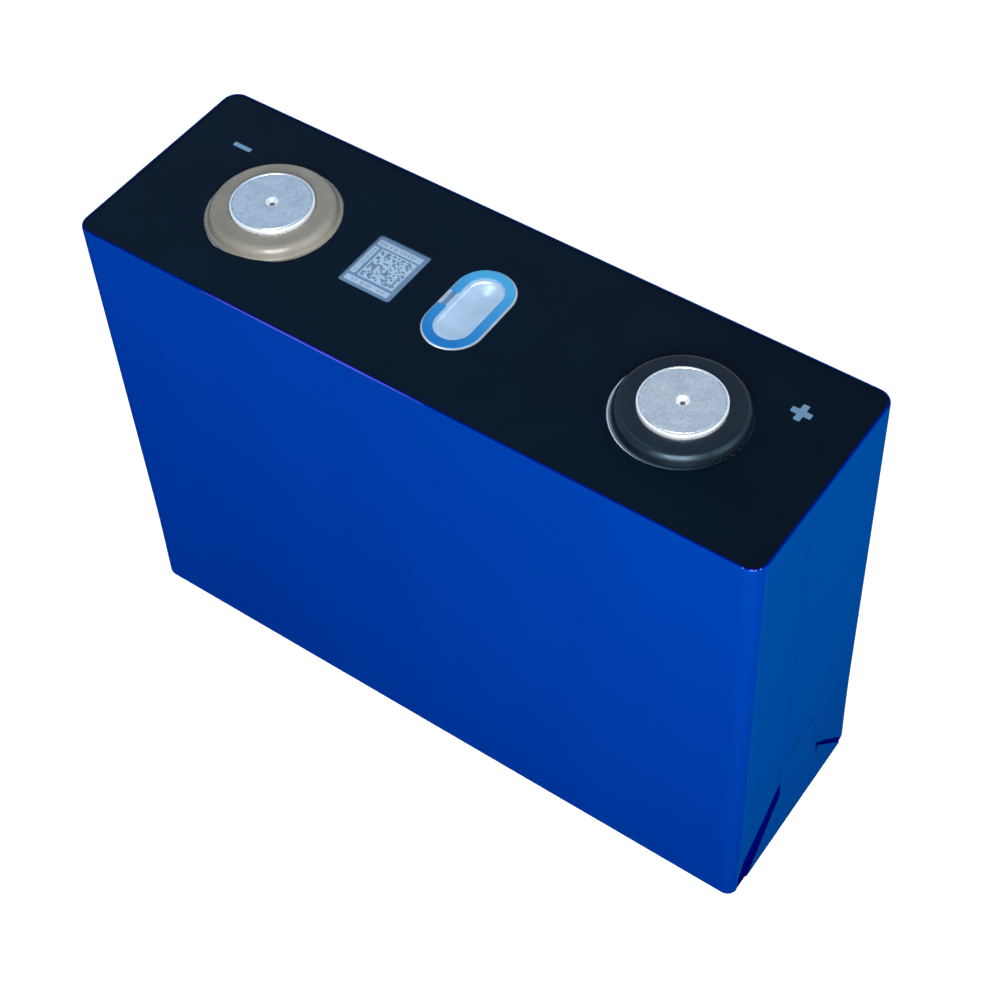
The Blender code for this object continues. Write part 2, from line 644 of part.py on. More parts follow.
def make_bag(parts, material):
    """The film bag, open at the top, that keeps both cores off the can."""
    low = CAN_BOTTOM_Z + CAN_FLOOR + GAP
    half_x = CAN_INSIDE_X - GLUE
    half_y = CAN_INSIDE_Y - GLUE
    shape = rounded_box_shape(half_x, half_y, low, BAG_TOP_Z, CAN_RADIUS - CAN_WALL - GLUE)
    shape.normal_update()
    delete_top(shape, BAG_TOP_Z)
    bag = finish_shape("core_bag", shape, material, parts)
    solidify(bag, BAG_FILM)


def make_support_plate(parts, material):
    """The plastic plate that the cores stand on, with drain holes for the electrolyte."""
    low = CAN_BOTTOM_Z + CAN_FLOOR + GAP + BAG_FILM + GAP
    size = (2 * (CAN_INSIDE_X - SUPPORT_CLEARANCE), 2 * (CAN_INSIDE_Y - SUPPORT_CLEARANCE))
    outlines = [rounded_rectangle((0, 0), size, SUPPORT_CORNER, 3)]
    for column in range(DRAIN_COLUMNS):
        x = (column - (DRAIN_COLUMNS - 1) / 2) * DRAIN_PITCH
        for side_y in (-1, 1):
            outlines.append(circle((x, side_y * CORE_CENTRE_Y), DRAIN_RADIUS, 12))
    flat_piece("bottom_support_plate", outlines, low, low + SUPPORT_THICKNESS, material, parts)


# ---------------------------------------------------------------- the whole cell
def main():
    clear_scene()
    parts = make_collection("prismatic_battery_cell")
    tools = make_collection("cutters")

    blue_film = make_material("wrap_film_blue", (0.004, 0.045, 0.36), 0.3)
    black_film = make_material("top_film_black", (0.006, 0.010, 0.018), 0.5)
    aluminium = make_material("aluminium", (0.80, 0.82, 0.85), 0.35, 1.0)
    copper = make_material("copper", (0.72, 0.36, 0.22), 0.35, 1.0)
    black_plastic = make_material("black_plastic", (0.02, 0.025, 0.035), 0.5)
    tan_plastic = make_material("tan_plastic", (0.35, 0.34, 0.30), 0.45)
    white_plastic = make_material("white_plastic", (0.75, 0.76, 0.75), 0.5)
    seal_rubber = make_material("seal_rubber", (0.03, 0.03, 0.03), 0.7)
    ring_blue = make_material("adhesive_blue", (0.01, 0.20, 0.62), 0.4)
    clear_film = make_material("clear_film", (0.9, 0.93, 0.95), 0.08, 0.0, 0.3)
    roll = make_material("electrode_roll", (0.06, 0.06, 0.065), 0.7)
    tape_green = make_material("tape_green", (0.05, 0.30, 0.16), 0.4)

    make_wrap_film(parts, tools, blue_film)
    make_can(parts, tools, aluminium)
    make_cap_plate(parts, tools, aluminium)
    make_top_film(parts, black_film)
    make_vent(parts, tools, aluminium, ring_blue, clear_film)
    make_filling_plug(parts, seal_rubber, aluminium)

    make_positive_post(parts, aluminium)
    make_negative_post(parts, aluminium, copper)
    make_insulator_ring("positive_insulator_ring", TERMINAL_SPACING / 2, parts, black_plastic)
    make_insulator_ring("negative_insulator_ring", -TERMINAL_SPACING / 2, parts, tan_plastic)
    make_seal_ring("positive_seal_ring", TERMINAL_SPACING / 2, parts, seal_rubber)
    make_seal_ring("negative_seal_ring", -TERMINAL_SPACING / 2, parts, seal_rubber)

    make_lower_insulators(parts, tools, white_plastic)
    make_collector(
        "positive_current_collector", TERMINAL_SPACING / 2, POSITIVE_COLLECTOR, True, parts, aluminium
    )
    make_collector(
        "negative_current_collector", -TERMINAL_SPACING / 2, NEGATIVE_COLLECTOR, False, parts, copper
    )

    for place_name, side_y in (("front", -1), ("back", 1)):
        make_core(f"{place_name}_core", side_y, parts, roll)
        make_tab(
            f"{place_name}_positive_tab", side_y, TERMINAL_SPACING / 2, POSITIVE_COLLECTOR, parts, aluminium
        )
        make_tab(
            f"{place_name}_negative_tab", side_y, -TERMINAL_SPACING / 2, NEGATIVE_COLLECTOR, parts, copper
        )
        make_tape(f"{place_name}_core_tape", side_y, parts, tape_green)
    make_bag(parts, white_plastic)
    make_support_plate(parts, white_plastic)


main()
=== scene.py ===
"""Looks of the prismatic battery cell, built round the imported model.

The wrap film, the top sheet, the terminals, the insulator rings and the vent are remodelled here in full
detail. The can, the cap plate and all that is sealed inside keep their CAD shapes and get new materials.
Lengths are metres. +X points to the positive terminal, -Y to the front, +Z up.
"""

import json
import math
import random

import bmesh
import bpy
from mathutils import Euler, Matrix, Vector


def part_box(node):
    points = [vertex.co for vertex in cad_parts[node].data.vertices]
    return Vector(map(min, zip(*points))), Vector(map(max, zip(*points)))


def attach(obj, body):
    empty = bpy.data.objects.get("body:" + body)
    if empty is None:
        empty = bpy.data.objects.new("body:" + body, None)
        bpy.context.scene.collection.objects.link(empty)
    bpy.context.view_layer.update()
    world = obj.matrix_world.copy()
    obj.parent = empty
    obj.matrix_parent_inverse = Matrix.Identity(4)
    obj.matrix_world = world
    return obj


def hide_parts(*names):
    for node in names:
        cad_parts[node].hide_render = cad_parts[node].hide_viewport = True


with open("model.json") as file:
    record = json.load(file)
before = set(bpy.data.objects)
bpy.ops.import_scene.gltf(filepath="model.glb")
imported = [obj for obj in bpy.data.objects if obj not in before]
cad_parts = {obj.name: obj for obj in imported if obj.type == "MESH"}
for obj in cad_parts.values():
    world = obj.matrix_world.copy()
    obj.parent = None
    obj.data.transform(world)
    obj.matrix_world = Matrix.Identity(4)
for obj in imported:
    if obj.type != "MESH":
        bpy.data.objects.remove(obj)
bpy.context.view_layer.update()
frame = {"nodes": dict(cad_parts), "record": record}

MM = 0.001

# -------- camera
CAMERA_PLACE = (0.1776, -0.2201, 0.4089)
CAMERA_TURN = (40.05, 1.22, 34.25)  # degrees, about X, Y and Z
CAMERA_LENS = 75.75  # on a 36 mm sensor
CAMERA_SHIFT = (-0.0554, -0.0526)

# -------- the cell's main places, from the frame
WRAP_LOW, WRAP_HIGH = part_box("wrap_film")
BODY_TOP = WRAP_HIGH.z
PLATE_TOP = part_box("cap_plate")[1].z
ON_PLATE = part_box("top_insulator_film")[0].z

# -------- wrap film
# painted shade: the film's tone at its foot, darker towards the bottom
FOOT_PAINTED_SHADE = 0.82
FLAP_FILM = 0.10 * MM
FLAP_LIFT = 0.05 * MM
FLAP_CLEARANCE = 0.02 * MM
SLEEVE_FILM = 0.10 * MM
SLEEVE_HALF_X = WRAP_HIGH.x - FLAP_FILM - FLAP_LIFT - FLAP_CLEARANCE
SLEEVE_HALF_Y = WRAP_HIGH.y
SLEEVE_BOTTOM = FLAP_FILM + FLAP_CLEARANCE
CORNER_RADIUS = 3.5 * MM
CORNER_STEPS = 12
FOOT_CORNER_RADIUS = 2.5 * MM  # the upright corners get tighter towards the foot
CORNER_CHANGE_Z = (3.0 * MM, 30.0 * MM)
CORNER_CHANGE_STEPS = 8
LIP_RADIUS = 0.55 * MM
LIP_REACH = 0.5 * MM
LIP_SLOPE = 0.75  # faces that look up more than this belong to the turned-in lip
END_SLOPE = 0.98  # faces that look sideways more than this are on the narrow ends
FOOT_RADIUS = 0.9 * MM
SEAM_Y = -6.5 * MM
SEAM_STEP = 0.04 * MM
SEAM_STEP_WIDTH = 0.1 * MM
SEAM_FADE_Y = 12.0 * MM
# A dark layer inside the sleeve: painted shade, seen through the openings beside the flaps
SLIT_SHADE_GAP = 0.02 * MM
SLIT_SHADE_FILM = 0.08 * MM
SLIT_SHADE_DROP = 1.4 * MM

FLAP_TOP_Z = 30.7 * MM
FLAP_CORNER = 3.0 * MM
FLAP_TUCK = 12.0 * MM  # how far the flap runs under the cell
FLAP_COLUMNS = 40
FLAP_ROW = 0.8 * MM
FLAP_WAVES = (9.0, 350)  # radians across the whole flap, and per metre of height
FLAP_FREE_Z = 6 * MM  # the flap lies close to the sleeve below this
# Edges of the flap in millimetres, as (height, distance from the middle). The front one stands away.
FLAP_FRONT_EDGE = [(0.0, 18.9), (5.4, 15.0), (12.6, 10.0), (17.4, 6.5), (22.4, 7.0), (30.7, 8.2)]
FLAP_BACK_EDGE = [(0.0, 22.6), (17.0, 8.7), (19.0, 8.2), (30.7, 7.8)]
# Openings in the sleeve beside the flap, in millimetres, as (y, z).
FRONT_SLIT = [(-7.3, 22.8), (-12.4, 17.4), (-20.6, 9.9), (-22.5, 5.5), (-22.9, -1), (-17, -1), (-5.5, 16)]
BACK_SLIT = [(8.3, 18.4), (8.2, 16), (21.2, -1), (24.4, -1), (23.1, 1.6), (14.4, 11.9)]
# A narrow cut along a crease, running down from the back opening's tip, through the flap as well. The dark
# layer it shows is painted shade.
FLAP_CREASE_CUT = [(8.6, 17.4), (9.5, 16.2), (9.9, 12.5), (9.8, 10.8), (9.2, 13.5)]
OPENING_CORNER = 0.5  # millimetres
CUT_REACH = (3 * MM, 1 * MM)  # of the cutters, to the inside and the outside of the film


# -------- small tools
WELD = 0.001 * MM  # points closer than this are one point
CORNER_SHARE = 0.45  # of a side's length, the most that a rounded corner takes up


def remove(obj):
    bpy.data.objects.remove(obj, do_unlink=True)


def linked(obj):
    bpy.context.scene.collection.objects.link(obj)
    return obj


def new_object(name, mesh, materials):
    obj = linked(bpy.data.objects.new(name, mesh))
    for material in materials:
        mesh.materials.append(material)
    return obj


def mesh_from(shape, name):
    mesh = bpy.data.meshes.new(name)
    bmesh.ops.recalc_face_normals(shape, faces=shape.faces)
    shape.to_mesh(mesh)
    shape.free()
    return mesh


def object_from(shape, name, *materials):
    return new_object(name, mesh_from(shape, name), materials)


def shape_of_rings(rings, filled=(-1,)):
    """Closed rings of points with faces all round between them, and across those that are filled."""
    shape = bmesh.new()
    rows = [[shape.verts.new(point) for point in ring] for ring in rings]
    for upper, lower in zip(rows, rows[1:]):
        for i in range(len(upper)):
            j = (i + 1) % len(upper)
            shape.faces.new((upper[i], lower[i], lower[j], upper[j]))
    for i in filled:
        shape.faces.new(rows[i])
    return shape


def smooth(obj, sharp_degrees=35):
    obj.data.shade_smooth()
    obj.data.set_sharp_from_angle(angle=math.radians(sharp_degrees))
    return obj


def even_normals(obj):
    """Keeps large flat faces flat in the shading beside narrow rounded edges."""
    modifier = obj.modifiers.new("flat_faces", "WEIGHTED_NORMAL")
    modifier.keep_sharp = True
    modifier.weight = 90
    return obj


def evaluated_mesh(obj):
    bpy.context.view_layer.update()
    graph = bpy.context.evaluated_depsgraph_get()
    return bpy.data.meshes.new_from_object(obj.evaluated_get(graph))


def applied(obj):
    mesh = evaluated_mesh(obj)
    obj.modifiers.clear()
    old = obj.data
    obj.data = mesh
    bpy.data.meshes.remove(old)
    return obj


def solidify(obj, thickness, offset=-1.0):
    modifier = obj.modifiers.new("thickness", "SOLIDIFY")
    modifier.thickness = thickness
    modifier.offset = offset
    modifier.use_even_offset = True
    return obj


def cut(obj, tool):
    modifier = obj.modifiers.new("cut", "BOOLEAN")
    modifier.operation = "DIFFERENCE"
    modifier.solver = "EXACT"
    modifier.object = tool


def hand_in(obj, replaced=None):
    """The piece rides on the one body, and hides the CAD node it stands for, if one is given."""
    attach(obj, "root")
    if replaced:
        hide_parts(replaced)
    return obj


def heading(degrees):
    angle = math.radians(degrees)
    return Vector((math.cos(angle), math.sin(angle)))


def arc(centre, radius, start, end, steps):
    """Points along an arc, from angle start to angle end in degrees."""
    angles = [math.radians(start + (end - start) * i / steps) for i in range(steps + 1)]
    return [(centre[0] + radius * math.cos(a), centre[1] + radius * math.sin(a)) for a in angles]


def rounded_rectangle(centre, size, radius, steps=6):
    x, y = size[0] / 2 - radius, size[1] / 2 - radius
    points = []
    for cx, cy, start in ((x, y, 0), (-x, y, 90), (-x, -y, 180), (x, -y, 270)):
        points += arc((centre[0] + cx, centre[1] + cy), radius, start, start + 90, steps)
    return points


def pill(size, centre=(0, 0), steps=24):
    """A slot shape with round ends, standing along Y."""
    radius = size[0] / 2
    straight = size[1] / 2 - radius
    top = arc((centre[0], centre[1] + straight), radius, 0, 180, steps)
    bottom = arc((centre[0], centre[1] - straight), radius, 180, 360, steps)
    return top + bottom


def fillet(points, radius, steps=5, closed=False):
    """Rounds the corners of a run of points, by up to this radius."""
    count = len(points)
    rounded = []
    for i, here in enumerate(points):
        if not closed and i in (0, count - 1):
            rounded.append(here)
            continue
        corner = Vector(here)
        before = Vector(points[i - 1]) - corner
        after = Vector(points[(i + 1) % count]) - corner
        reach = min(radius, before.length * CORNER_SHARE, after.length * CORNER_SHARE)
        start = corner + before.normalized() * reach
        end = corner + after.normalized() * reach
        for step in range(steps + 1):
            t = step / steps
            point = start * (1 - t) ** 2 + corner * 2 * t * (1 - t) + end * t**2
            rounded.append(tuple(point))
    return rounded


def flat_piece(name, outlines, low, high, material, edge=0.0):
    """A plate between two heights, with its edges rounded by edge. Outlines after the first are holes."""
    curve = bpy.data.curves.new(name, "CURVE")
    curve.dimensions = "2D"
    curve.fill_mode = "BOTH"
    curve.extrude = (high - low) / 2 - edge
    curve.bevel_depth = edge
    curve.bevel_resolution = 2
    curve.offset = -edge
    for points in outlines:
        spline = curve.splines.new("POLY")
        spline.points.add(len(points) - 1)
        for point, (x, y) in zip(spline.points, points):
            point.co = (x, y, 0, 1)
        spline.use_cyclic_u = True
    obj = linked(bpy.data.objects.new(name, curve))
    mesh = evaluated_mesh(obj)
    remove(obj)
    shape = bmesh.new()
    shape.from_mesh(mesh)
    bpy.data.meshes.remove(mesh)
    bmesh.ops.remove_doubles(shape, verts=shape.verts, dist=WELD)
    bmesh.ops.translate(shape, vec=(0, 0, (low + high) / 2), verts=shape.verts)
    return even_normals(smooth(object_from(shape, name, material)))


def turned_piece(name, profile, centre, material, steps=128):
    """A turned shape about an upright axis. The profile is (radius, z), down its outer side, and it
    starts and ends on the axis, or closes on itself for a ring."""
    shape = bmesh.new()
    points = [shape.verts.new((radius, 0, z)) for radius, z in profile]
    edges = [shape.edges.new(pair) for pair in zip(points, points[1:])]
    if profile[0][0] > 0:
        edges.append(shape.edges.new((points[-1], points[0])))
    geometry = points + edges
    bmesh.ops.spin(shape, geom=geometry, axis=(0, 0, 1), angle=math.tau, steps=steps, use_merge=True)
    bmesh.ops.remove_doubles(shape, verts=shape.verts, dist=WELD)
    bmesh.ops.translate(shape, vec=(centre[0], centre[1], 0), verts=shape.verts)
    return smooth(object_from(shape, name, material))


def add_block(shape, place, size):
    verts = bmesh.ops.create_cube(shape, size=1)["verts"]
    bmesh.ops.scale(shape, vec=size, verts=verts)
    bmesh.ops.translate(shape, vec=place, verts=verts)


def make_lumps(name, lumps, material, segments=16):
    """One piece of several ellipsoids, as (place, size, turn about the upright axis)."""
    shape = bmesh.new()
    for place, size, turn in lumps:
        verts = bmesh.ops.create_uvsphere(shape, u_segments=segments, v_segments=8, radius=0.5)["verts"]
        bmesh.ops.scale(shape, vec=size, verts=verts)
        bmesh.ops.rotate(shape, matrix=Euler((0, 0, turn)).to_matrix(), verts=verts)
        bmesh.ops.translate(shape, vec=place, verts=verts)
    return hand_in(smooth(object_from(shape, name, material)))


def joined(name, pieces):
    """One object from several of one material."""
    shape = bmesh.new()
    for piece in pieces:
        shape.from_mesh(piece.data)
    material = pieces[0].data.materials[0]
    for piece in pieces:
        remove(piece)
    return smooth(object_from(shape, name, material))


# -------- material tools
def shader_of(material):
    return material.node_tree.nodes["Principled BSDF"]


def set_inputs(node, values):
    for name, value in values.items():
        node.inputs[name].default_value = value


def new_surface(name, colour, roughness, metallic=0.0, specular=0.5):
    material = bpy.data.materials.new(name)
    material.use_nodes = True
    values = {"Base Color": (*colour, 1.0), "Roughness": roughness, "Metallic": metallic}
    set_inputs(shader_of(material), {**values, "Specular IOR Level": specular})
    return material


def place_on(tree):
    """A place on the piece, in its own coordinates."""
    return tree.nodes.new("ShaderNodeTexCoord").outputs["Object"]


def grain(material, size, stretch=(1, 1, 1), detail=3.0, offset=0.0):
    """A noise pattern with features of about this size, longer along an axis with a larger stretch."""
    tree = material.node_tree
    mapping = tree.nodes.new("ShaderNodeMapping")
    set_inputs(mapping, {"Scale": [1 / s for s in stretch], "Location": (offset, offset, offset)})
    noise = tree.nodes.new("ShaderNodeTexNoise")
    set_inputs(noise, {"Scale": 1 / size, "Detail": detail})
    tree.links.new(place_on(tree), mapping.inputs["Vector"])
    tree.links.new(mapping.outputs["Vector"], noise.inputs["Vector"])
    return noise.outputs["Fac"]


def ramp(material, value, stops):
    """Colours along a value, as (position, colour)."""
    tree = material.node_tree
    node = tree.nodes.new("ShaderNodeValToRGB")
    for position, colour in stops[1:-1]:
        node.color_ramp.elements.new(position).color = (*colour, 1.0)
    ends = node.color_ramp.elements
    ends[0].position, ends[0].color = stops[0][0], (*stops[0][1], 1.0)
    ends[-1].position, ends[-1].color = stops[-1][0], (*stops[-1][1], 1.0)
    tree.links.new(value, node.inputs["Fac"])
    return node.outputs["Color"]


def paint(material, value, low, high, start=0.35, end=0.65):
    """Base colour from low to high along the pattern."""
    colour = ramp(material, value, [(start, low), (end, high)])
    material.node_tree.links.new(colour, shader_of(material).inputs["Base Color"])


def along(material, axis, start, end):
    """How far along an axis a place is: 0 at the start and 1 at the end."""
    tree = material.node_tree
    parts = tree.nodes.new("ShaderNodeSeparateXYZ")
    tree.links.new(place_on(tree), parts.inputs["Vector"])
    return scaled(material, parts.outputs[axis], 0.0, 1.0, start, end)


def fade(material, value, tones):
    """Scales the base colour by the first tone where the value is 0, and by the second where it is 1."""
    tree = material.node_tree
    base = shader_of(material).inputs["Base Color"]
    shade = tree.nodes.new("ShaderNodeVectorMath")
    shade.operation = "SCALE"
    tree.links.new(base.links[0].from_socket, shade.inputs["Vector"])
    tree.links.new(scaled(material, value, *tones, 0.0, 1.0), shade.inputs["Scale"])
    tree.links.new(shade.outputs["Vector"], base)


def scaled(material, value, low, high, start=0.3, end=0.7):
    """The value spread from low to high, between these two readings of it."""
    tree = material.node_tree
    node = tree.nodes.new("ShaderNodeMapRange")
    set_inputs(node, {"From Min": start, "From Max": end, "To Min": low, "To Max": high})
    tree.links.new(value, node.inputs["Value"])
    return node.outputs["Result"]


def roughen(material, value, low, high):
    result = scaled(material, value, low, high)
    material.node_tree.links.new(result, shader_of(material).inputs["Roughness"])


def emboss(material, value, height):
    """Bump of this height, on top of any bump that is already there."""
    tree = material.node_tree
    bump = tree.nodes.new("ShaderNodeBump")
    set_inputs(bump, {"Distance": height})
    normal = shader_of(material).inputs["Normal"]
    if normal.is_linked:
        tree.links.new(normal.links[0].from_socket, bump.inputs["Normal"])
    tree.links.new(value, bump.inputs["Height"])
    tree.links.new(bump.outputs["Normal"], normal)


# -------- materials
SHEET_PAINTED_LIGHT = (1.05, 0.5)  # at the negative and the positive end: painted light, the sheet lighter at the negative end
MARK_PAINTED_LIGHT = (1.2, 0.85)  # at the minus and the plus: painted light, the minus lighter than the plus
TAN_PAINTED_SHADE = (0.84, 1.03)  # at the front and the back of the ring: painted shade, darker at the front
TAN_REACH = 13 * MM  # those places, from the middle
GLUE_REACH = 11 * MM  # the same for the vent's glue
DARKER_DISC = 0.86  # tone of the darker spots in machined metal
DARKER_METAL = 0.88  # and in rolled metal
FOIL_LAYER = 0.9 * MM


def wrap_surface(name, low, high):
    """Blue film drawn tight over the bright can, with painted shade that makes it a little deeper in tone
    towards the foot.
    """
    material = new_surface(name, high, 0.4, 0.35, 0.0)
    set_inputs(shader_of(material), {"Specular Tint": (0.0, 0.12, 0.6, 1.0)})
    tension = grain(material, 35 * MM, (1, 1, 2.5), 2.0)
    paint(material, tension, low, high, 0.3, 0.7)
    # painted shade: darker towards the foot
    fade(material, along(material, "Z", 0.0, BODY_TOP), (FOOT_PAINTED_SHADE, 1.0))
    roughen(material, grain(material, 9 * MM, (1, 1, 3)), 0.34, 0.42)
    emboss(material, tension, 0.05 * MM)
    emboss(material, grain(material, 0.35 * MM), 0.002 * MM)
    return material


def top_sheet_surface():
    material = new_surface("black_top_sheet", (0.004, 0.010, 0.020), 0.45, 0.0, 0.1)
    set_inputs(shader_of(material), {"Specular Tint": (0.35, 0.65, 1.0, 1.0)})
    paint(material, grain(material, 14 * MM), (0.0006, 0.0042, 0.0115), (0.0010, 0.0055, 0.0140))
    # painted light: the sheet lighter towards the negative end
    fade(material, along(material, "X", WRAP_LOW.x, WRAP_HIGH.x), SHEET_PAINTED_LIGHT)
    roughen(material, grain(material, 5 * MM), 0.42, 0.5)
    emboss(material, grain(material, 0.25 * MM), 0.004 * MM)
    emboss(material, grain(material, 25 * MM), 0.03 * MM)
    return material


def disc_surface(name, shade, offset):
    """Machined aluminium with faint mottling and fine scratches."""
    material = new_surface(name, shade, 0.38, 1.0)
    darker = tuple(c * DARKER_DISC for c in shade)
    paint(material, grain(material, 0.7 * MM, (1, 1, 1), 8.0, offset), darker, shade, 0.4, 0.6)
    roughen(material, grain(material, 2.5 * MM, (1, 1, 1), 4.0, offset), 0.34, 0.46)
    emboss(material, grain(material, 0.12 * MM, (9, 1, 1), 3.0, offset), 0.004 * MM)
    emboss(material, grain(material, 0.5 * MM, (1, 1, 1), 3.0, offset), 0.006 * MM)
    return material


def aluminium_surface(name, shade, roughness, metallic=1.0):
    material = new_surface(name, shade, roughness, metallic)
    darker = tuple(c * DARKER_METAL for c in shade)
    paint(material, grain(material, 4 * MM, (6, 1, 1), 4.0), darker, shade)
    roughen(material, grain(material, 3 * MM, (8, 1, 1)), roughness - 0.06, roughness + 0.08)
    emboss(material, grain(material, 0.1 * MM, (30, 1, 1)), 0.003 * MM)
    return material


def copper_surface():
    material = new_surface("copper", (0.78, 0.40, 0.26), 0.3, 1.0)
    paint(material, grain(material, 3 * MM, (5, 1, 1), 4.0), (0.62, 0.27, 0.16), (0.80, 0.42, 0.28))
    roughen(material, grain(material, 2 * MM, (6, 1, 1)), 0.24, 0.42)
    emboss(material, grain(material, 0.1 * MM, (30, 1, 1)), 0.003 * MM)
    return material


def moulded_surface(name, low, high, roughness=0.42, specular=0.5):
    """Moulded plastic with a fine matt grain and slight flow marks."""
    material = new_surface(name, high, roughness, 0.0, specular)
    paint(material, grain(material, 6 * MM), low, high)
    roughen(material, grain(material, 2 * MM), roughness - 0.05, roughness + 0.07)
    emboss(material, grain(material, 0.4 * MM), 0.002 * MM)
    emboss(material, grain(material, 7 * MM), 0.02 * MM)
    return material


def vent_blue_surface(front, back):
    """Glue under the clear film, paler towards the back as a painted reflection of the film."""
    material = moulded_surface("vent_blue", front, back, 0.4, 0.1)
    # painted reflection: the glue paler towards the back
    paint(material, along(material, "Y", -GLUE_REACH, GLUE_REACH), front, back, 0.0, 1.0)
    return material


def tan_surface(low, high):
    material = moulded_surface("tan_plastic", low, high, 0.3)
    # painted shade: the ring darker towards its front
    fade(material, along(material, "Y", -TAN_REACH, TAN_REACH), TAN_PAINTED_SHADE)
    return material


def clear_surface():
    """Thin clear film, slightly smeared."""
    material = new_surface("clear_film", (0.1, 0.3, 0.6), 0.06, 0.0, 0.45)
    set_inputs(shader_of(material), {"Alpha": 0.07})
    roughen(material, grain(material, 2.5 * MM), 0.04, 0.14)
    emboss(material, grain(material, 3 * MM), 0.02 * MM)
    return material


def roll_surface():
    """Edges of coated foils wound into a roll."""
    material = new_surface("electrode_roll", (0.05, 0.05, 0.055), 0.65, 0.0)
    tree = material.node_tree
    layers = tree.nodes.new("ShaderNodeTexWave")
    layers.bands_direction = "Y"
    set_inputs(layers, {"Scale": 1 / FOIL_LAYER, "Distortion": 0.6})
    tree.links.new(place_on(tree), layers.inputs["Vector"])
    paint(material, layers.outputs["Fac"], (0.018, 0.018, 0.020), (0.11, 0.11, 0.115))
    roughen(material, grain(material, 1 * MM), 0.55, 0.75)
    emboss(material, layers.outputs["Fac"], 0.02 * MM)
    return material


def floor_surface():
    """A pale light table, so that the cell stands on an even white."""
    material = new_surface("studio_floor", (0.46, 0.46, 0.46), 0.7, 0.0, 0.0)
    paint(material, grain(material, 120 * MM), (0.45, 0.45, 0.45), (0.47, 0.47, 0.47))
    glow = {"Emission Color": (1.0, 0.97, 0.93, 1.0), "Emission Strength": 0.78}
    set_inputs(shader_of(material), glow)
    return material


# -------- wrap film
def end_bulge(y):
    """How far the overlap of the wrap's two edges stands out on an end face."""
    if y <= SEAM_Y:
        return 0.0
    return SEAM_STEP * max(0.0, 1 - (y - SEAM_Y) / (SEAM_FADE_Y - SEAM_Y))


def sleeve_outline(half_x, half_y, radius, seam):
    """The sleeve seen from above, as (place, outward direction), anticlockwise from the front right."""
    x, y = half_x - radius, half_y - radius
    corners = [(x, -y, 270), (x, y, 0), (-x, y, 90), (-x, -y, 180)]
    outline = []
    for cx, cy, start in corners:
        for i in range(CORNER_STEPS + 1):
            outward = heading(start + 90 * i / CORNER_STEPS)
            outline.append((Vector((cx, cy)) + outward * radius, outward))
        if seam and start in (270, 90):
            side = 1 if start == 270 else -1
            places = [SEAM_Y, SEAM_Y + SEAM_STEP_WIDTH, 0.0, SEAM_FADE_Y]
            for seam_y in places if side > 0 else places[::-1]:
                place = Vector((side * (half_x + end_bulge(seam_y)), seam_y))
                outline.append((place, Vector((side, 0))))
    return outline


def corner_radius_at(z):
    low, high = CORNER_CHANGE_Z
    share = min(1.0, max(0.0, (z - low) / (high - low)))
    eased = math.sin(share * math.pi / 2)
    return FOOT_CORNER_RADIUS + (CORNER_RADIUS - FOOT_CORNER_RADIUS) * eased


def wall_levels():
    """Levels down the walls where the upright corners change, as (inset, height)."""
    low, high = CORNER_CHANGE_Z
    return [(0.0, high + (low - high) * i / CORNER_CHANGE_STEPS) for i in range(CORNER_CHANGE_STEPS + 1)]


def loft(inset, profile, seam):
    """Rings of the sleeve's outline, each moved inwards and to its own height. The last one is filled."""
    rings = []
    for further, z in profile:
        radius = corner_radius_at(z) - inset
        outline = sleeve_outline(SLEEVE_HALF_X - inset, SLEEVE_HALF_Y - inset, radius, seam)
        rings.append([(*(place - outward * further), z) for place, outward in outline])
    return shape_of_rings(rings)


def prism_along_x(name, outline, low_x, high_x):
    """A cutter whose section is an outline in the YZ plane, in millimetres."""
    ends = [[(x, y * MM, z * MM) for y, z in outline] for x in (low_x, high_x)]
    return object_from(shape_of_rings(ends, (0, 1)), name)


def cut_end_openings(obj, side, openings):
    """Cuts outlines in the YZ plane through one end of a film, and applies its modifiers."""
    inner, outer = side * (SLEEVE_HALF_X - CUT_REACH[0]), side * (WRAP_HIGH.x + CUT_REACH[1])
    rounded = [fillet(outline, OPENING_CORNER, 3, True) for outline in openings]
    tools = [prism_along_x("opening", outline, inner, outer) for outline in rounded]
    for tool in tools:
        cut(obj, tool)
    applied(obj)
    for tool in tools:
        remove(tool)


def make_sleeve(single, two_layer_light_tint, edge):
    """The wrap film: a turned-in lip, rounded corners and foot, a seam, and openings beside the flaps."""
    lip_start = math.degrees(math.acos(1 - LIP_REACH / LIP_RADIUS))
    lip = arc((LIP_RADIUS, BODY_TOP - LIP_RADIUS), LIP_RADIUS, 180 - lip_start, 180, 6)
    foot = arc((FOOT_RADIUS, SLEEVE_BOTTOM + FOOT_RADIUS), FOOT_RADIUS, 180, 270, 6)
    shape = loft(0.0, lip + wall_levels() + foot, True)
    sleeve = object_from(shape, "wrap_sleeve", single, two_layer_light_tint, edge)
    solidify(sleeve, SLEEVE_FILM)
    for side in (-1, 1):
        cut_end_openings(sleeve, side, [FRONT_SLIT, BACK_SLIT, FLAP_CREASE_CUT])
    for face in sleeve.data.polygons:
        # Faces on the narrow ends take the second finish: the film lies doubled there, and its greener
        # tone is also a painted tint of the light on the ends.
        face.material_index = 2 if face.normal.z > LIP_SLOPE else int(abs(face.normal.x) > END_SLOPE)
    return hand_in(even_normals(smooth(sleeve)), "wrap_film")


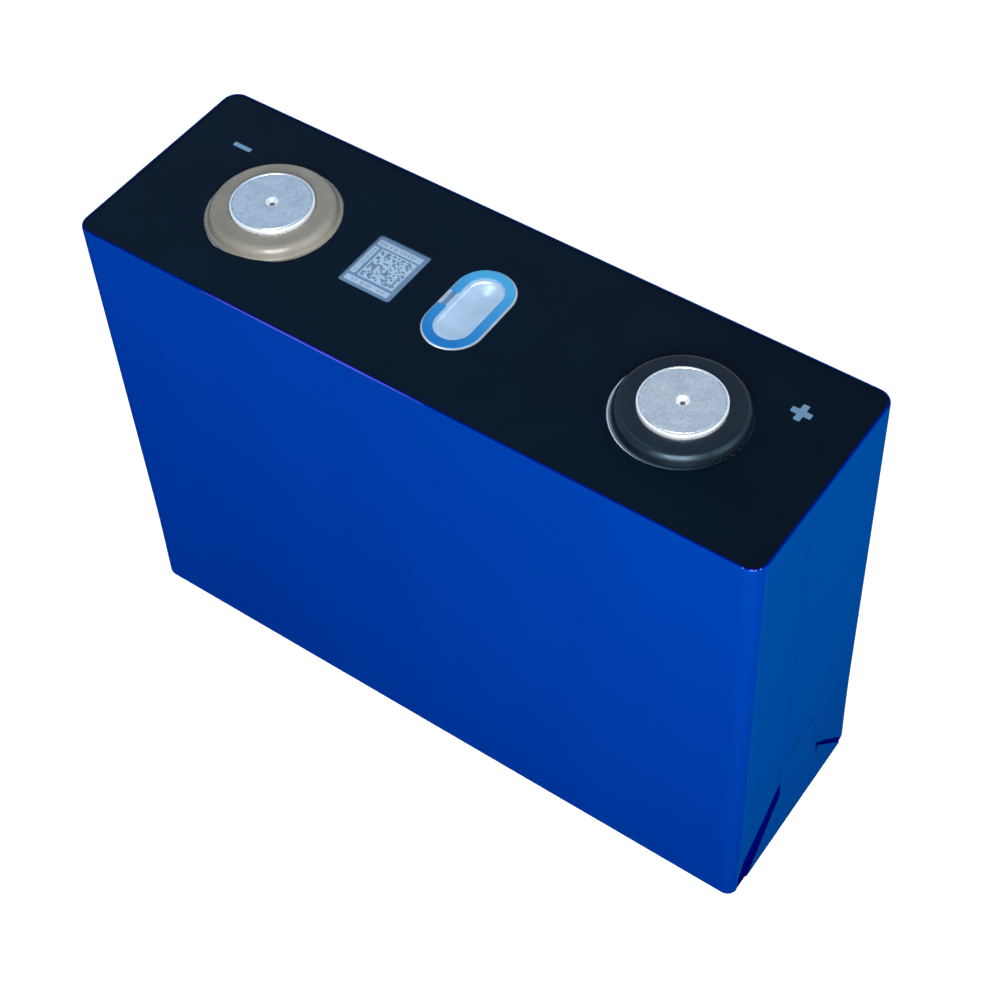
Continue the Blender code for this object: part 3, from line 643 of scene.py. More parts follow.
def make_slit_shade_layer(material):
    """A dark navy layer inside the sleeve, seen only in the openings beside the end flaps: painted shade
    for the shadow in those openings.
    """
    inset = SLEEVE_FILM + SLIT_SHADE_GAP
    low = SLEEVE_BOTTOM + inset
    foot = arc((FOOT_RADIUS, low + FOOT_RADIUS), FOOT_RADIUS, 180, 270, 6)
    profile = [(0.0, BODY_TOP - SLIT_SHADE_DROP)] + wall_levels() + foot
    layer = object_from(loft(inset, profile, False), "wrap_slit_shade_layer", material)
    layer = applied(solidify(layer, SLIT_SHADE_FILM))
    return hand_in(even_normals(smooth(layer)))


def edge_at(edge, z):
    """Where a flap's edge is at this height, rounded off at the tongue's top corner."""
    heights = [point[0] * MM for point in edge]
    for (low, high), (here, above) in zip(zip(heights, heights[1:]), zip(edge, edge[1:])):
        if z <= high:
            share = (z - low) / (high - low)
            y = (here[1] + (above[1] - here[1]) * share) * MM
            break
    into_corner = max(0.0, z - (FLAP_TOP_Z - FLAP_CORNER))
    return y - FLAP_CORNER + math.sqrt(max(0.0, FLAP_CORNER**2 - into_corner**2))


def flap_lift(share, z):
    """How far the flap stands off the sleeve, in slight waves."""
    wave = 0.5 + 0.5 * math.sin(FLAP_WAVES[0] * share + FLAP_WAVES[1] * z)
    return FLAP_LIFT * wave * min(1.0, max(0.0, z) / FLAP_FREE_Z)


def make_end_flap(name, side, material):
    """The flap that comes up from under the cell and ends in a tongue, its front edge lifted a little."""
    wall = SLEEVE_HALF_X + FLAP_CLEARANCE
    low = SLEEVE_BOTTOM - FLAP_CLEARANCE
    radius = FOOT_RADIUS + FLAP_CLEARANCE
    path = [(wall - radius - FLAP_TUCK, low)]
    path += arc((wall - radius, low + radius), radius, 270, 360, 8)
    straight_top = FLAP_TOP_Z - FLAP_CORNER
    count = int((straight_top - low - radius) / FLAP_ROW)
    path += [(wall, low + radius + (straight_top - low - radius) * i / count) for i in range(1, count)]
    path += [(wall, straight_top + FLAP_CORNER * math.sin(math.radians(a))) for a in range(0, 91, 10)]
    shape = bmesh.new()
    rows = []
    for x, z in path:
        z_on_edge = min(max(z, 0.0), FLAP_TOP_Z)
        front, back = -edge_at(FLAP_FRONT_EDGE, z_on_edge), edge_at(FLAP_BACK_EDGE, z_on_edge)
        row = []
        for column in range(FLAP_COLUMNS + 1):
            share = column / FLAP_COLUMNS
            y = front + (back - front) * share
            row.append(shape.verts.new((side * (x + flap_lift(share, z)), y, z)))
        rows.append(row)
    for lower, upper in zip(rows, rows[1:]):
        for i in range(FLAP_COLUMNS):
            corners = (lower[i], lower[i + 1], upper[i + 1], upper[i])
            shape.faces.new(corners if side > 0 else corners[::-1])
    mesh = bpy.data.meshes.new(name)
    shape.to_mesh(mesh)
    shape.free()
    flap = new_object(name, mesh, [material])
    solidify(flap, FLAP_FILM, 1.0)
    cut_end_openings(flap, side, [FLAP_CREASE_CUT])
    return hand_in(smooth(flap))


# -------- top sheet and its marks
# Pale spots on the lip, partly where it is worn through and partly painted glints, as (degrees round the
# corner, length, width), in millimetres
WORN_GLINT_SPOTS = [(-90, 0.5, 0.14), (-61, 0.9, 0.2), (-49, 0.35, 0.28), (-33, 0.5, 0.16)]
SPOT_INSET = 0.25 * MM
SPOT_HEIGHT = 0.1 * MM
# A painted highlight along part of the front edge of the lip, as a thin raised strip of paler violet
FRONT_GLINT_X = (-48.0 * MM, 9.0 * MM)
FRONT_GLINT_SIZE = (0.3 * MM, 0.22 * MM)
FRONT_GLINT_INSET = 0.2 * MM
FRONT_GLINT_DROP = 0.17 * MM
SHEET_MARGIN = 0.4 * MM  # the sheet's edge is just under the lip
SHEET_HALF_X = SLEEVE_HALF_X - SHEET_MARGIN
SHEET_HALF_Y = SLEEVE_HALF_Y - SHEET_MARGIN
SHEET_FILM = 0.25 * MM
SHEET_EDGE = 0.05 * MM  # rounding of its edges, and of the vent's glue
SHEET_TOP = ON_PLATE + SHEET_FILM
SHEET_CORNER = CORNER_RADIUS - SHEET_MARGIN
POSITIVE_LOW, POSITIVE_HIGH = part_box("positive_insulator_ring")
NEGATIVE_LOW, NEGATIVE_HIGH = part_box("negative_insulator_ring")
POSITIVE_X = (POSITIVE_LOW.x + POSITIVE_HIGH.x) / 2
NEGATIVE_X = (NEGATIVE_LOW.x + NEGATIVE_HIGH.x) / 2
POSITIVE_HOLE = (POSITIVE_X - 0.25 * MM, -0.25 * MM)
POSITIVE_HOLE_RADIUS = 13.8 * MM
CREASE_ANGLES = (-31, -23, -16, -8)
CREASE_RADIUS = 13.4 * MM
CREASE_RISE = 0.15 * MM
CREASE_LENGTH = (1.2, 1.8)  # from and to, in millimetres, as the width
CREASE_WIDTH = (0.8, 1.3)
CREASE_HEIGHT = 0.7 * MM
CREASE_TURN = 0.3  # radians either way
NEGATIVE_HOLE_RADIUS = 14.1 * MM
# Where the sheet's edge leaves the circle, in front: (angle and spread in degrees, how far outwards)
NEGATIVE_HOLE_WAVES = [(-72, 20, -0.8 * MM), (-110, 9, 0.3 * MM)]
CODE_CENTRE = (-20.35 * MM, -0.1 * MM)
CODE_SIZE = (12.7 * MM, 14.7 * MM)
CODE_CORNER = 0.7 * MM
VENT_CENTRE = (0.15 * MM, -0.15 * MM)
VENT_WINDOW = (13.3 * MM, 23.3 * MM)
MARK_RISE = 0.02 * MM
MINUS_CENTRE = (-66.6 * MM, 11.9 * MM)
MINUS_SIZE = (4.4 * MM, 1.05 * MM)
MINUS_CORNER = 0.2 * MM
PLUS_CENTRE = (66.95 * MM, 11.8 * MM)
PLUS_SIZE = 4.25 * MM
PLUS_ARM = 1.35 * MM
PLUS_CORNER = 0.25 * MM


def negative_hole():
    points = []
    for degrees in range(0, 360, 3):
        radius = NEGATIVE_HOLE_RADIUS
        for middle, spread, outwards in NEGATIVE_HOLE_WAVES:
            away = (degrees - middle + 180) % 360 - 180
            radius += outwards * math.exp(-((away / spread) ** 2))
        angle = math.radians(degrees)
        points.append((NEGATIVE_X + radius * math.cos(angle), radius * math.sin(angle)))
    return points


def make_top_sheet(material):
    outlines = [
        rounded_rectangle((0, 0), (2 * SHEET_HALF_X, 2 * SHEET_HALF_Y), SHEET_CORNER, 10),
        arc(POSITIVE_HOLE, POSITIVE_HOLE_RADIUS, 0, 357, 119),
        negative_hole(),
        pill(VENT_WINDOW, VENT_CENTRE),
        rounded_rectangle(CODE_CENTRE, CODE_SIZE, CODE_CORNER, 5),
    ]
    sheet = flat_piece("top_sheet", outlines, ON_PLATE, SHEET_TOP, material, SHEET_EDGE)
    return hand_in(sheet, "top_insulator_film")


def make_sheet_creases(material):
    """Short creases where the sheet is pushed up against the positive ring, at its right, in a darker
    black that is painted shade.
    """
    random.seed(4)
    lumps = []
    for degrees in CREASE_ANGLES:
        angle = math.radians(degrees)
        size = (random.uniform(*CREASE_LENGTH) * MM, random.uniform(*CREASE_WIDTH) * MM, CREASE_HEIGHT)
        x, y = POSITIVE_X + CREASE_RADIUS * math.cos(angle), CREASE_RADIUS * math.sin(angle)
        turn = angle + random.uniform(-CREASE_TURN, CREASE_TURN)
        lumps.append(((x, y, SHEET_TOP + CREASE_RISE), size, turn))
    return make_lumps("top_sheet_creases", lumps, material)


def make_worn_glint_spots(material):
    """Pale spots at the front right corner: partly where the lip is worn through to the can, partly
    painted glints.
    """
    middle = Vector((SLEEVE_HALF_X - CORNER_RADIUS, CORNER_RADIUS - SLEEVE_HALF_Y))
    lumps = []
    for degrees, length, width in WORN_GLINT_SPOTS:
        x, y = middle + heading(degrees) * (CORNER_RADIUS - SPOT_INSET)
        size = (width * MM, length * MM, SPOT_HEIGHT)
        lumps.append(((x, y, BODY_TOP - SPOT_HEIGHT), size, math.radians(degrees)))
    return make_lumps("lip_worn_glint_spots", lumps, material)


def make_front_glint(material):
    """A pale violet raised strip along part of the front edge of the lip: a painted highlight, which also
    catches the light.
    """
    low, high = FRONT_GLINT_X
    place = ((low + high) / 2, FRONT_GLINT_INSET - SLEEVE_HALF_Y, BODY_TOP - FRONT_GLINT_DROP)
    lump = (place, (high - low, *FRONT_GLINT_SIZE), 0.0)
    return make_lumps("front_lip_glint", [lump], material, 48)


def cross(centre, size, arm):
    """A plus sign's outline."""
    x, y = centre
    reach, half_arm = size / 2, arm / 2
    quarter = [(reach, -half_arm), (reach, half_arm), (half_arm, half_arm)]
    points = []
    for turn in range(4):
        for px, py in quarter:
            for _ in range(turn):
                px, py = -py, px
            points.append((x + px, y + py))
    return points


def make_polarity_marks(material):
    minus = rounded_rectangle(MINUS_CENTRE, MINUS_SIZE, MINUS_CORNER, 3)
    plus = fillet(cross(PLUS_CENTRE, PLUS_SIZE, PLUS_ARM), PLUS_CORNER, 3, True)
    for name, outline in (("minus_mark", minus), ("plus_mark", plus)):
        mark = flat_piece(name, [outline], SHEET_TOP, SHEET_TOP + MARK_RISE, material)
        hand_in(mark)


# -------- etched code on the cap plate
CODE_BARS = [  # (centre, size) of the plain etched bars, from the window's centre
    ((-0.2 * MM, 5.4 * MM), (10.6 * MM, 1.6 * MM)),
    ((-0.2 * MM, -5.6 * MM), (10.6 * MM, 1.4 * MM)),
    ((-5.0 * MM, 0.0), (1.3 * MM, 8.2 * MM)),
]
CODE_FIELD_CENTRE = (0.6 * MM, 0.0)
CODE_FIELD_SIZE = (8.6 * MM, 8.3 * MM)
CODE_CELLS = 18
FIELD_CORNER = 0.1 * MM
BAR_CORNER = 0.12 * MM
ETCH_RISE = 0.015 * MM
STROKE_PITCH = 0.62 * MM
STROKE_WIDTH = 0.22 * MM
STROKE_SHARE = 0.7  # of the places for a stroke, how many have one
STROKE_STRAY = 0.2  # of the pitch, either way
STROKE_LENGTH = (0.3, 0.6)  # of the bar's width, from and to
CELL_SHARE = 0.46
CELL_FILL = (0.98, 0.94)  # of the pitch, along X and Y
FIELD_MARGIN = 0.3 * MM
STROKE_LIFT = 1.25  # middles of the strokes and the cells, in heights of the panels
CELL_LIFT = 1.5


def at_code(offset):
    return (CODE_CENTRE[0] + offset[0], CODE_CENTRE[1] + offset[1])


def make_bar_strokes(material):
    """Rows of short plain strokes along the bars."""
    shape = bmesh.new()
    for (x, y), (width, height) in CODE_BARS:
        along_x = width > height
        length, depth = max(width, height), min(width, height)
        for step in range(1, int(length / STROKE_PITCH)):
            if random.random() > STROKE_SHARE:
                continue
            stray = random.uniform(-STROKE_STRAY, STROKE_STRAY)
            along = -length / 2 + (step + stray) * STROKE_PITCH
            long_side = depth * random.uniform(*STROKE_LENGTH)
            size = (STROKE_WIDTH, long_side) if along_x else (long_side, STROKE_WIDTH)
            place = at_code((x + along, y) if along_x else (x, y + along))
            add_block(shape, (*place, PLATE_TOP + STROKE_LIFT * ETCH_RISE), (*size, ETCH_RISE / 2))
    return object_from(shape, "etched_strokes", material)


def make_etched_code(pale, dark):
    """Plain bars round a field of scattered cells that spell nothing."""
    random.seed(11)
    low = PLATE_TOP
    panels = []
    bars = [(centre, size, BAR_CORNER) for centre, size in CODE_BARS]
    for centre, size, corner in [(CODE_FIELD_CENTRE, CODE_FIELD_SIZE, FIELD_CORNER), *bars]:
        outline = rounded_rectangle(at_code(centre), size, corner, 2)
        panels.append(flat_piece("panel", [outline], low, low + ETCH_RISE, pale))
        panels[-1].modifiers.clear()
    hand_in(joined("etched_panels", panels))
    hand_in(make_bar_strokes(dark))

    pitch = (CODE_FIELD_SIZE[0] - 2 * FIELD_MARGIN) / CODE_CELLS
    shape = bmesh.new()
    for row in range(CODE_CELLS):
        for column in range(CODE_CELLS):
            if random.random() > CELL_SHARE:
                continue
            x = (column - (CODE_CELLS - 1) / 2) * pitch
            y = (row - (CODE_CELLS - 1) / 2) * pitch * CODE_FIELD_SIZE[1] / CODE_FIELD_SIZE[0]
            place = at_code((CODE_FIELD_CENTRE[0] + x, CODE_FIELD_CENTRE[1] + y))
            size = (pitch * CELL_FILL[0], pitch * CELL_FILL[1], ETCH_RISE)
            add_block(shape, (*place, low + CELL_LIFT * ETCH_RISE), size)
    hand_in(object_from(shape, "etched_cells", dark))


# -------- vent
VENT_RING_SIZE = (12.35 * MM, 22.35 * MM)
VENT_RING_BAND = 2.05 * MM
VENT_RING_BREAK = (-1.8 * MM, 2.3 * MM)
VENT_RING_TOP = ON_PLATE + 0.16 * MM
COVER_FILM = 0.06 * MM
COVER_SAG = 0.35 * MM
COVER_ROWS = 14
COVER_MIDDLE = 0.02  # size of the innermost row, as a share of the film's
COVER_CLEARANCE = 0.01 * MM
PAN_METAL = 0.04 * MM
PAN_RIM_SIZE = (8.9 * MM, 18.7 * MM)
PAN_RIM_RISE = 0.07 * MM
PAN_LEAN = 0.25 * MM  # run of the wall's steep part
PAN_DISH = 2.9 * MM  # run of the whole wall, down to the flat floor
PAN_STEEP_SHARE = 0.3  # of the pan's depth
PAN_FILLET = 0.8 * MM
RIDGE_SIZE = (13.3 * MM, 23.3 * MM)
RIDGE_WIDTH = 0.9 * MM
RIDGE_RISE = 0.24 * MM


def broken_band(size, band, gap):
    """A pill-shaped band with a break in its left side, between the two Y values of gap."""

    def open_pill(width, length):
        radius = width / 2
        straight = length / 2 - radius
        top = arc((0, straight), radius, 180, 0, 24)
        bottom = arc((0, -straight), radius, 0, -180, 24)
        return [(-radius, gap[1]), *top, *bottom, (-radius, gap[0])]

    outer = open_pill(*size)
    inner = open_pill(size[0] - 2 * band, size[1] - 2 * band)
    return outer + inner[::-1]


def make_vent_ring(material):
    band = broken_band(VENT_RING_SIZE, VENT_RING_BAND, VENT_RING_BREAK)
    ring = flat_piece("vent_glue_ring", [band], ON_PLATE, VENT_RING_TOP, material, SHEET_EDGE)
    return hand_in(ring, "vent_adhesive_ring")


def pill_loft(size, centre, profile, filled):
    """Rings of a pill outline, each at its own (inset, height), some of them filled."""
    rings = []
    for inset, z in profile:
        points = pill((size[0] - 2 * inset, size[1] - 2 * inset), centre, 28)
        rings.append([(x, y, z) for x, y in points])
    return shape_of_rings(rings, filled)


def make_vent_pan(material):
    """The thin burst disc: a dished pan with a flat rim, a rounded wall and a flat floor."""
    low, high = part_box("vent_disc")
    rim, floor = PLATE_TOP + PAN_RIM_RISE, high.z
    wall = (PAN_RIM_SIZE[0] - (high.x - low.x)) / 2
    knee = rim + (floor - rim) * PAN_STEEP_SHARE
    dish = [(wall + PAN_LEAN, knee), (wall + PAN_DISH, floor), (wall + PAN_DISH + PAN_LEAN, floor)]
    profile = fillet([(0, rim), (wall, rim), *dish], PAN_FILLET, 8)
    shape = pill_loft(PAN_RIM_SIZE, (0, 0), profile, (-1,))
    pan = applied(solidify(object_from(shape, "vent_burst_disc", material), PAN_METAL))
    return hand_in(smooth(pan, 50), "vent_disc")


def make_vent_ridge(material):
    """The low bright ridge pressed into the cap plate round the vent, seen along the window's edge."""
    ridge = arc((RIDGE_WIDTH / 2, PLATE_TOP), RIDGE_WIDTH / 2, 180, 0, 8)
    profile = [(inset, PLATE_TOP + (z - PLATE_TOP) * RIDGE_RISE / (RIDGE_WIDTH / 2)) for inset, z in ridge]
    shape = pill_loft(RIDGE_SIZE, VENT_CENTRE, profile, ())
    return hand_in(smooth(object_from(shape, "vent_ridge", material)))


def cover_sag(x, y):
    """How far the clear film hangs here, inside the glue ring."""
    half_x, half_y = (side / 2 - VENT_RING_BAND for side in VENT_RING_SIZE)
    across, along = max(0.0, 1 - (x / half_x) ** 2), max(0.0, 1 - (y / half_y) ** 2)
    return COVER_SAG * (across * along) ** 2


def make_vent_cover(material):
    """The clear film: flat where it is glued, and sagging a little into the recess."""
    straight = (VENT_RING_SIZE[1] - VENT_RING_SIZE[0]) / 2
    outline = pill(VENT_RING_SIZE, (0, 0), 32)
    spine = [max(-straight, min(straight, y)) for _, y in outline]
    low = VENT_RING_TOP + COVER_CLEARANCE
    rings = []
    for row in range(COVER_ROWS + 1):
        share = 1 - (1 - COVER_MIDDLE) * row / COVER_ROWS
        points = [(share * x, y0 + share * (y - y0)) for (x, y), y0 in zip(outline, spine)]
        rings.append([(x, y, low - cover_sag(x, y)) for x, y in points])
    cover = object_from(shape_of_rings(rings), "vent_clear_film", material)
    cover = applied(solidify(cover, COVER_FILM))
    return hand_in(smooth(cover), "vent_cover_film")


# -------- terminals and rings
RIM_RADIUS = 0.4 * MM  # the disc's rounded edge
GROOVE_RADIUS = 8.0 * MM
GROOVE_WIDTH = 0.24 * MM
GROOVE_DEPTH = 0.2 * MM
DIMPLE_RADIUS = 1.35 * MM
DIMPLE_PIT_RADIUS = 0.4 * MM
DIMPLE_CONE_DEPTH = 0.75 * MM
DIMPLE_DEPTH = 1.2 * MM
DISC_RADIUS = 8.65 * MM
DISC_THICKNESS = 2.6 * MM
SHANK_RADIUS = 5.0 * MM
RIVET_RADIUS = 6.2 * MM
RIVET_THICKNESS = 0.8 * MM
SOCKET_RADIUS = 5.3 * MM
SOCKET_DEPTH = 1.1 * MM
DIMPLE_EDGE = 0.12 * MM
DIMPLE_APRON = 1 * MM  # flat that the rounding may take up
PIT_MARGIN = (1.2, 1.1)  # in radius and depth, to take in all of the pit's faces


def weld_face_profile(top):
    """From the axis out: the dimple, the face, a shallow groove and the rounded rim."""
    groove_in, groove_out = GROOVE_RADIUS - GROOVE_WIDTH / 2, GROOVE_RADIUS + GROOVE_WIDTH / 2
    rim = [(groove_out, top)] + arc((DISC_RADIUS - RIM_RADIUS, top - RIM_RADIUS), RIM_RADIUS, 90, 0, 8)
    rim.append((DISC_RADIUS, top - DISC_THICKNESS))
    dimple = fillet(
        [
            (0, top - DIMPLE_DEPTH),
            (DIMPLE_PIT_RADIUS, top - DIMPLE_DEPTH),
            (DIMPLE_PIT_RADIUS, top - DIMPLE_CONE_DEPTH),
            (DIMPLE_RADIUS, top),
            (DIMPLE_RADIUS + DIMPLE_APRON, top),
        ],
        DIMPLE_EDGE,
        3,
    )
    return dimple + [(groove_in, top), (GROOVE_RADIUS, top - GROOVE_DEPTH)] + rim


def turned_terminal(name, profile, centre_x, top, materials):
    """A terminal with its face, its rim and the pit of its dimple in their own finishes. The rim and the
    dimple's cone are polished and painted brighter as a highlight; the pit is painted dark as shade.
    """
    terminal = turned_piece(name, profile, (centre_x, 0), materials[0])
    for material in materials[1:]:
        terminal.data.materials.append(material)
    pit_reach, pit_floor = DIMPLE_PIT_RADIUS * PIT_MARGIN[0], top - DIMPLE_DEPTH * PIT_MARGIN[1]
    # rim and cone: brighter finish, partly polish and partly painted highlight; pit: dark finish, painted
    # shade
    for face in terminal.data.polygons:
        away = (face.center - Vector((centre_x, 0, face.center.z))).length
        if away > DISC_RADIUS - RIM_RADIUS and face.center.z > top - DISC_THICKNESS:
            face.material_index = 1
        elif away < pit_reach and pit_floor < face.center.z < top:
            face.material_index = 2
        elif away < DIMPLE_RADIUS and face.center.z > top - DIMPLE_CONE_DEPTH:
            face.material_index = 1
    return terminal


def make_terminals(positive, negative):
    """positive and negative are the finishes of each terminal: its face, its rim with its painted
    highlight, and its pit with its painted shade.
    """
    low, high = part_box("positive_terminal_post")
    under = high.z - DISC_THICKNESS
    shank = [
        (SHANK_RADIUS, under),
        (SHANK_RADIUS, low.z + RIVET_THICKNESS),
        (RIVET_RADIUS, low.z + RIVET_THICKNESS),
        (RIVET_RADIUS, low.z),
        (0, low.z),
    ]
    profile = weld_face_profile(high.z) + shank
    post = turned_terminal("positive_terminal", profile, POSITIVE_X, high.z, positive)
    hand_in(post, "positive_terminal_post")

    low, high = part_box("negative_terminal_disc")
    under = high.z - DISC_THICKNESS
    socket = [(SOCKET_RADIUS, under), (SOCKET_RADIUS, under + SOCKET_DEPTH), (0, under + SOCKET_DEPTH)]
    profile = weld_face_profile(high.z) + socket
    disc = turned_terminal("negative_terminal", profile, NEGATIVE_X, high.z, negative)
    hand_in(disc, "negative_terminal_disc")


RING_BASE = 13.4 * MM
RING_SHOULDER = 12.95 * MM
RING_TOP_OUTER = 12.15 * MM
RING_SHOULDER_DROP = 0.9 * MM
RING_INNER = 8.73 * MM
RING_INNER_EDGE = 0.15 * MM
RING_BORE_FLOOR = 0.6 * MM
RING_EDGE = 0.72 * MM
PLATE_HOLE = 7.0 * MM
FLANGE_RADIUS = 13.95 * MM
FLANGE_HEIGHT = 0.2 * MM
# Beads pressed round the rings, as (centre, radius, half width)
BEADS = [(POSITIVE_X, 13.85 * MM, 0.25 * MM), (NEGATIVE_X, 14.12 * MM, 0.13 * MM)]
BEAD_RISE = 0.09 * MM


def make_insulator_ring(end, flange, material):
    """A moulded cup round a terminal disc, with a rounded shoulder and a leaning side."""
    node = end + "_insulator_ring"
    low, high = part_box(node)
    floor = low.z + RING_BORE_FLOOR
    flange_top = low.z + FLANGE_HEIGHT
    foot = [(RING_BASE, flange_top), (RING_BASE, low.z)]
    if flange:
        foot = [(RING_BASE, flange_top), (FLANGE_RADIUS, flange_top), (FLANGE_RADIUS, low.z)]
    shoulder = fillet(
        [
            (RING_INNER, floor),
            (RING_INNER, high.z - RING_INNER_EDGE),
            (RING_INNER + RING_INNER_EDGE, high.z),
            (RING_TOP_OUTER, high.z),
            (RING_SHOULDER, high.z - RING_SHOULDER_DROP),
            *foot,
            (PLATE_HOLE, low.z),
            (PLATE_HOLE, floor),
        ],
        RING_EDGE,
        8,
        True,
    )
    ring = turned_piece(end + "_ring", shoulder, ((low.x + high.x) / 2, 0), material)
    return hand_in(ring, node)


def make_plate_beads(material):
    """The low pressed ridges of the cap plate round both rings, seen where the sheet leaves them bare."""
    beads = []
    for centre_x, radius, half_width in BEADS:
        angles = [math.pi * (1 - i / 8) for i in range(9)]
        ridge = [(radius + half_width * math.cos(a), PLATE_TOP + BEAD_RISE * math.sin(a)) for a in angles]
        beads.append(turned_piece("bead", ridge, (centre_x, 0), material))
    return hand_in(joined("cap_plate_beads", beads))


# -------- CAD nodes that stay
def finish_cad_nodes(**by_slot):
    slots = {part["node"]: part["material_slot"] for part in frame["record"]["subparts"]}
    for name, node in frame["nodes"].items():
        node.material_slots[0].material = by_slot[slots[name]]


# -------- studio
FLOOR_SIZE = 6.0
FLOOR_DROP = 0.01 * MM  # keeps the floor clear of the cell's flat underside
WORLD_STRENGTH = 0.75
WORLD_SIDES = (1.15, 1.20, 1.28)  # bright panels all round, and a dimmer ceiling
WORLD_CEILING = (0.56, 0.66, 0.80)
CEILING_STARTS = 0.45
LIGHTS = [  # (name, place, size, watts), all pointed at the cell's middle
    ("key", (0.23, -0.37, 0.35), (0.30, 0.22), 4.2),
    ("overhead", (-0.32, 0.04, 0.86), (0.16, 0.16), 0.42),
    ("right_fill", (1.0, 0.1, 0.5), (0.6, 0.8), 3.0),
]
LIT_MIDDLE = (0.0, 0.0, 0.06)


def make_camera():
    data = bpy.data.cameras.new("camera")
    data.lens = CAMERA_LENS
    data.sensor_width = 36.0
    data.shift_x, data.shift_y = CAMERA_SHIFT
    camera = linked(bpy.data.objects.new("camera", data))
    camera.location = CAMERA_PLACE
    camera.rotation_euler = [math.radians(angle) for angle in CAMERA_TURN]
    bpy.context.scene.camera = camera


def make_light(name, place, size, power):
    data = bpy.data.lights.new(name, "AREA")
    data.shape = "RECTANGLE"
    data.size, data.size_y = size
    data.energy = power
    light = linked(bpy.data.objects.new(name, data))
    light.visible_camera = False
    light.location = place
    aim = Vector(LIT_MIDDLE) - Vector(place)
    light.rotation_euler = aim.to_track_quat("-Z", "Y").to_euler()


def make_floor(material):
    shape = bmesh.new()
    bmesh.ops.create_grid(shape, x_segments=1, y_segments=1, size=FLOOR_SIZE / 2)
    bmesh.ops.translate(shape, vec=(0, 0, -FLOOR_DROP), verts=shape.verts)
    object_from(shape, "studio_floor", material)


def make_studio():
    world = bpy.data.worlds.new("studio")
    world.use_nodes = True
    tree = world.node_tree
    background = tree.nodes["Background"]
    direction = tree.nodes.new("ShaderNodeTexCoord")
    parts = tree.nodes.new("ShaderNodeSeparateXYZ")
    tree.links.new(direction.outputs["Generated"], parts.inputs["Vector"])
    shades = ramp(world, parts.outputs["Z"], [(0.0, WORLD_SIDES), (CEILING_STARTS, WORLD_CEILING)])
    tree.links.new(shades, background.inputs["Color"])
    set_inputs(background, {"Strength": WORLD_STRENGTH})
    bpy.context.scene.world = world
    for light in LIGHTS:
        make_light(*light)
    make_floor(floor_surface())
    settings = bpy.context.scene.view_settings
    settings.view_transform = "Standard"
    settings.look = "None"


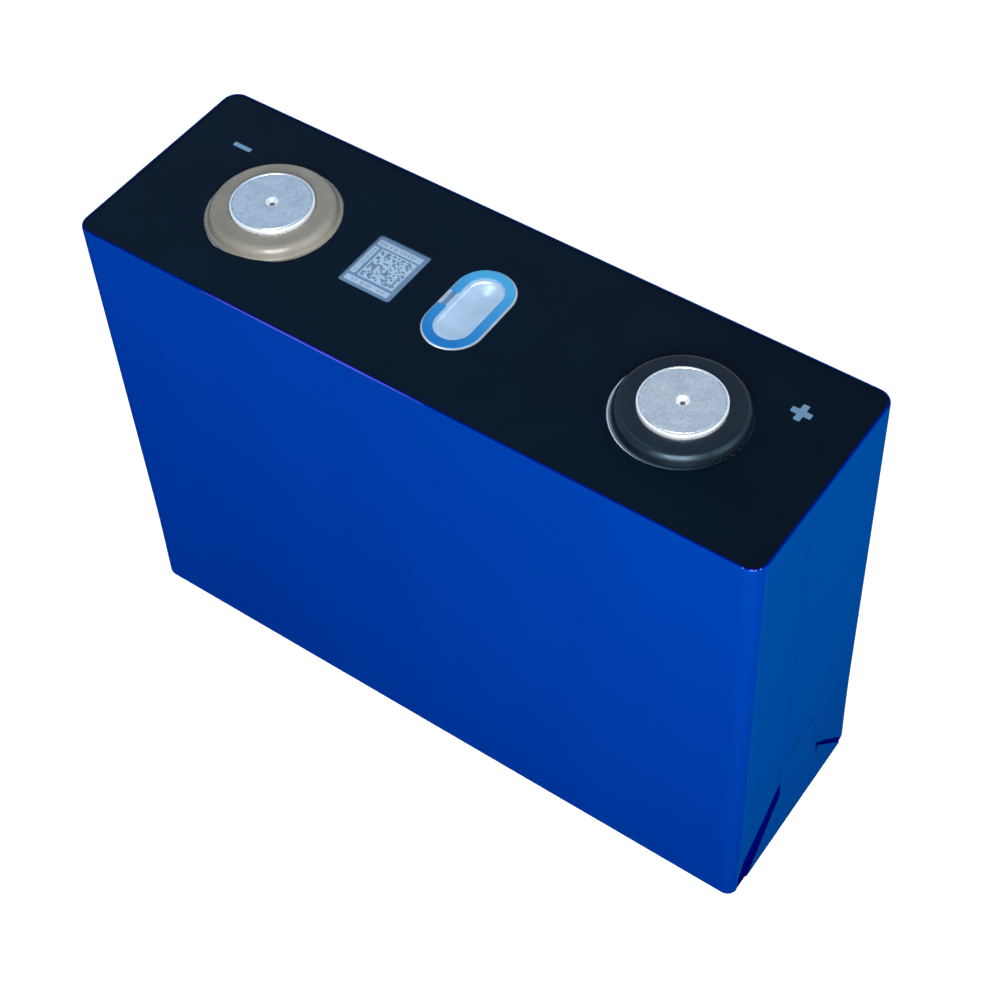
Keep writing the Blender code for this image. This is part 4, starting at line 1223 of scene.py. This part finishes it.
# -------- everything
def main():
    make_camera()
    blue = wrap_surface("wrap_blue", (0.0, 0.029, 0.205), (0.0, 0.032, 0.218))
    # Greener film on the narrow ends and flaps: doubled film, and a painted tint of the light that falls
    # on the ends.
    blue_two_layer_light_tint = wrap_surface("wrap_blue_two_layer_light_tint", (0.0, 0.055, 0.205), (0.0, 0.059, 0.215))
    # paler violet of the strip on the front lip: a painted highlight
    glint_violet = moulded_surface("lip_glint_violet", (0.04, 0.03, 0.38), (0.07, 0.05, 0.48), 0.35)
    blue_edge = wrap_surface("wrap_edge", (0.0, 0.007, 0.14), (0.0, 0.009, 0.17))
    # dark navy of the layer seen in the openings: painted shade
    slit_shade_navy = moulded_surface("wrap_slit_shade_navy", (0.0, 0.0006, 0.07), (0.0, 0.001, 0.09), 0.7, 0.0)
    black_sheet = top_sheet_surface()
    aluminium = aluminium_surface("aluminium", (0.80, 0.85, 0.90), 0.36)
    bare_metal = aluminium_surface("bare_metal", (0.95, 0.97, 1.0), 0.28)
    etched_ground = aluminium_surface("etched_ground", (0.26, 0.41, 0.58), 0.45)
    vent_metal = aluminium_surface("vent_metal", (0.72, 0.87, 0.97), 0.36, 0.75)
    # The blue of the discs' base colours is partly a painted reflection of a bluish surround.
    positive_disc = disc_surface("positive_disc", (0.81, 0.88, 0.94), 0.0)
    negative_disc = disc_surface("negative_disc", (0.70, 0.84, 0.95), 0.3)
    # brighter than the faces: polish, and a painted highlight on the rims and the dimples' cones
    rim_polish_highlight = aluminium_surface("rim_polish_highlight", (0.96, 0.98, 1.0), 0.3, 0.72)
    # dark: painted shade in the dimples' pits
    pit_shade = moulded_surface("dimple_pit_shade", (0.20, 0.19, 0.17), (0.26, 0.24, 0.22), 0.6, 0.1)
    copper = copper_surface()
    adhesive = vent_blue_surface((0.0, 0.11, 0.36), (0.05, 0.29, 0.50))
    mark = moulded_surface("mark_grey", (0.09, 0.18, 0.28), (0.12, 0.22, 0.33), 0.5, 0.3)
    # painted light: the marks lighter towards the minus
    fade(mark, along(mark, "X", NEGATIVE_X, POSITIVE_X), MARK_PAINTED_LIGHT)
    # darker than the sheet: painted shade in the creases
    crease_shaded_black = moulded_surface("crease_shaded_black", (0, 0.001, 0.003), (0.001, 0.002, 0.005), 0.5, 0.1)
    etched_pale = aluminium_surface("etched_pale", (0.62, 0.78, 0.95), 0.5)
    etched_dark = aluminium_surface("etched_dark", (0.27, 0.38, 0.50), 0.5)
    # pale spots on the lip's corner: partly wear, partly painted glints
    worn_glint_spot = moulded_surface("worn_glint_spot", (0.10, 0.14, 0.34), (0.20, 0.26, 0.50), 0.5, 0.2)
    clear = clear_surface()
    rubber = moulded_surface("seal_rubber", (0.012, 0.012, 0.013), (0.025, 0.025, 0.027), 0.6)
    black_plastic = moulded_surface("black_plastic", (0.0016, 0.003, 0.006), (0.0026, 0.005, 0.009), 0.34)
    set_inputs(shader_of(black_plastic), {"Specular Tint": (0.52, 0.78, 1.0, 1.0)})
    tan_plastic = tan_surface((0.175, 0.165, 0.136), (0.21, 0.197, 0.163))
    white_plastic = moulded_surface("white_plastic", (0.68, 0.69, 0.68), (0.78, 0.79, 0.78))
    roll = roll_surface()
    tape = moulded_surface("core_tape", (0.03, 0.24, 0.12), (0.05, 0.32, 0.17), 0.3)

    finish_cad_nodes(
        wrap_film=blue,
        top_film=black_sheet,
        aluminium=aluminium,
        terminal_aluminium=positive_disc,
        copper=copper,
        adhesive=adhesive,
        clear_film=clear,
        rubber=rubber,
        black_plastic=black_plastic,
        tan_plastic=tan_plastic,
        white_plastic=white_plastic,
        electrode_roll=roll,
        core_tape=tape,
    )
    frame["nodes"]["cap_plate"].material_slots[0].material = etched_ground
    make_sleeve(blue, blue_two_layer_light_tint, blue_edge)
    make_slit_shade_layer(slit_shade_navy)
    make_end_flap("positive_end_flap", 1, blue_two_layer_light_tint)
    make_end_flap("negative_end_flap", -1, blue_two_layer_light_tint)
    make_top_sheet(black_sheet)
    make_sheet_creases(crease_shaded_black)
    make_worn_glint_spots(worn_glint_spot)
    make_front_glint(glint_violet)
    make_polarity_marks(mark)
    make_etched_code(etched_pale, etched_dark)
    make_vent_ring(adhesive)
    make_vent_pan(vent_metal)
    make_vent_ridge(bare_metal)
    make_vent_cover(clear)
    make_terminals((positive_disc, rim_polish_highlight, pit_shade), (negative_disc, rim_polish_highlight, pit_shade))
    make_insulator_ring("positive", False, black_plastic)
    make_insulator_ring("negative", True, tan_plastic)
    make_plate_beads(bare_metal)
    make_studio()


main()
bpy.context.view_layer.update()
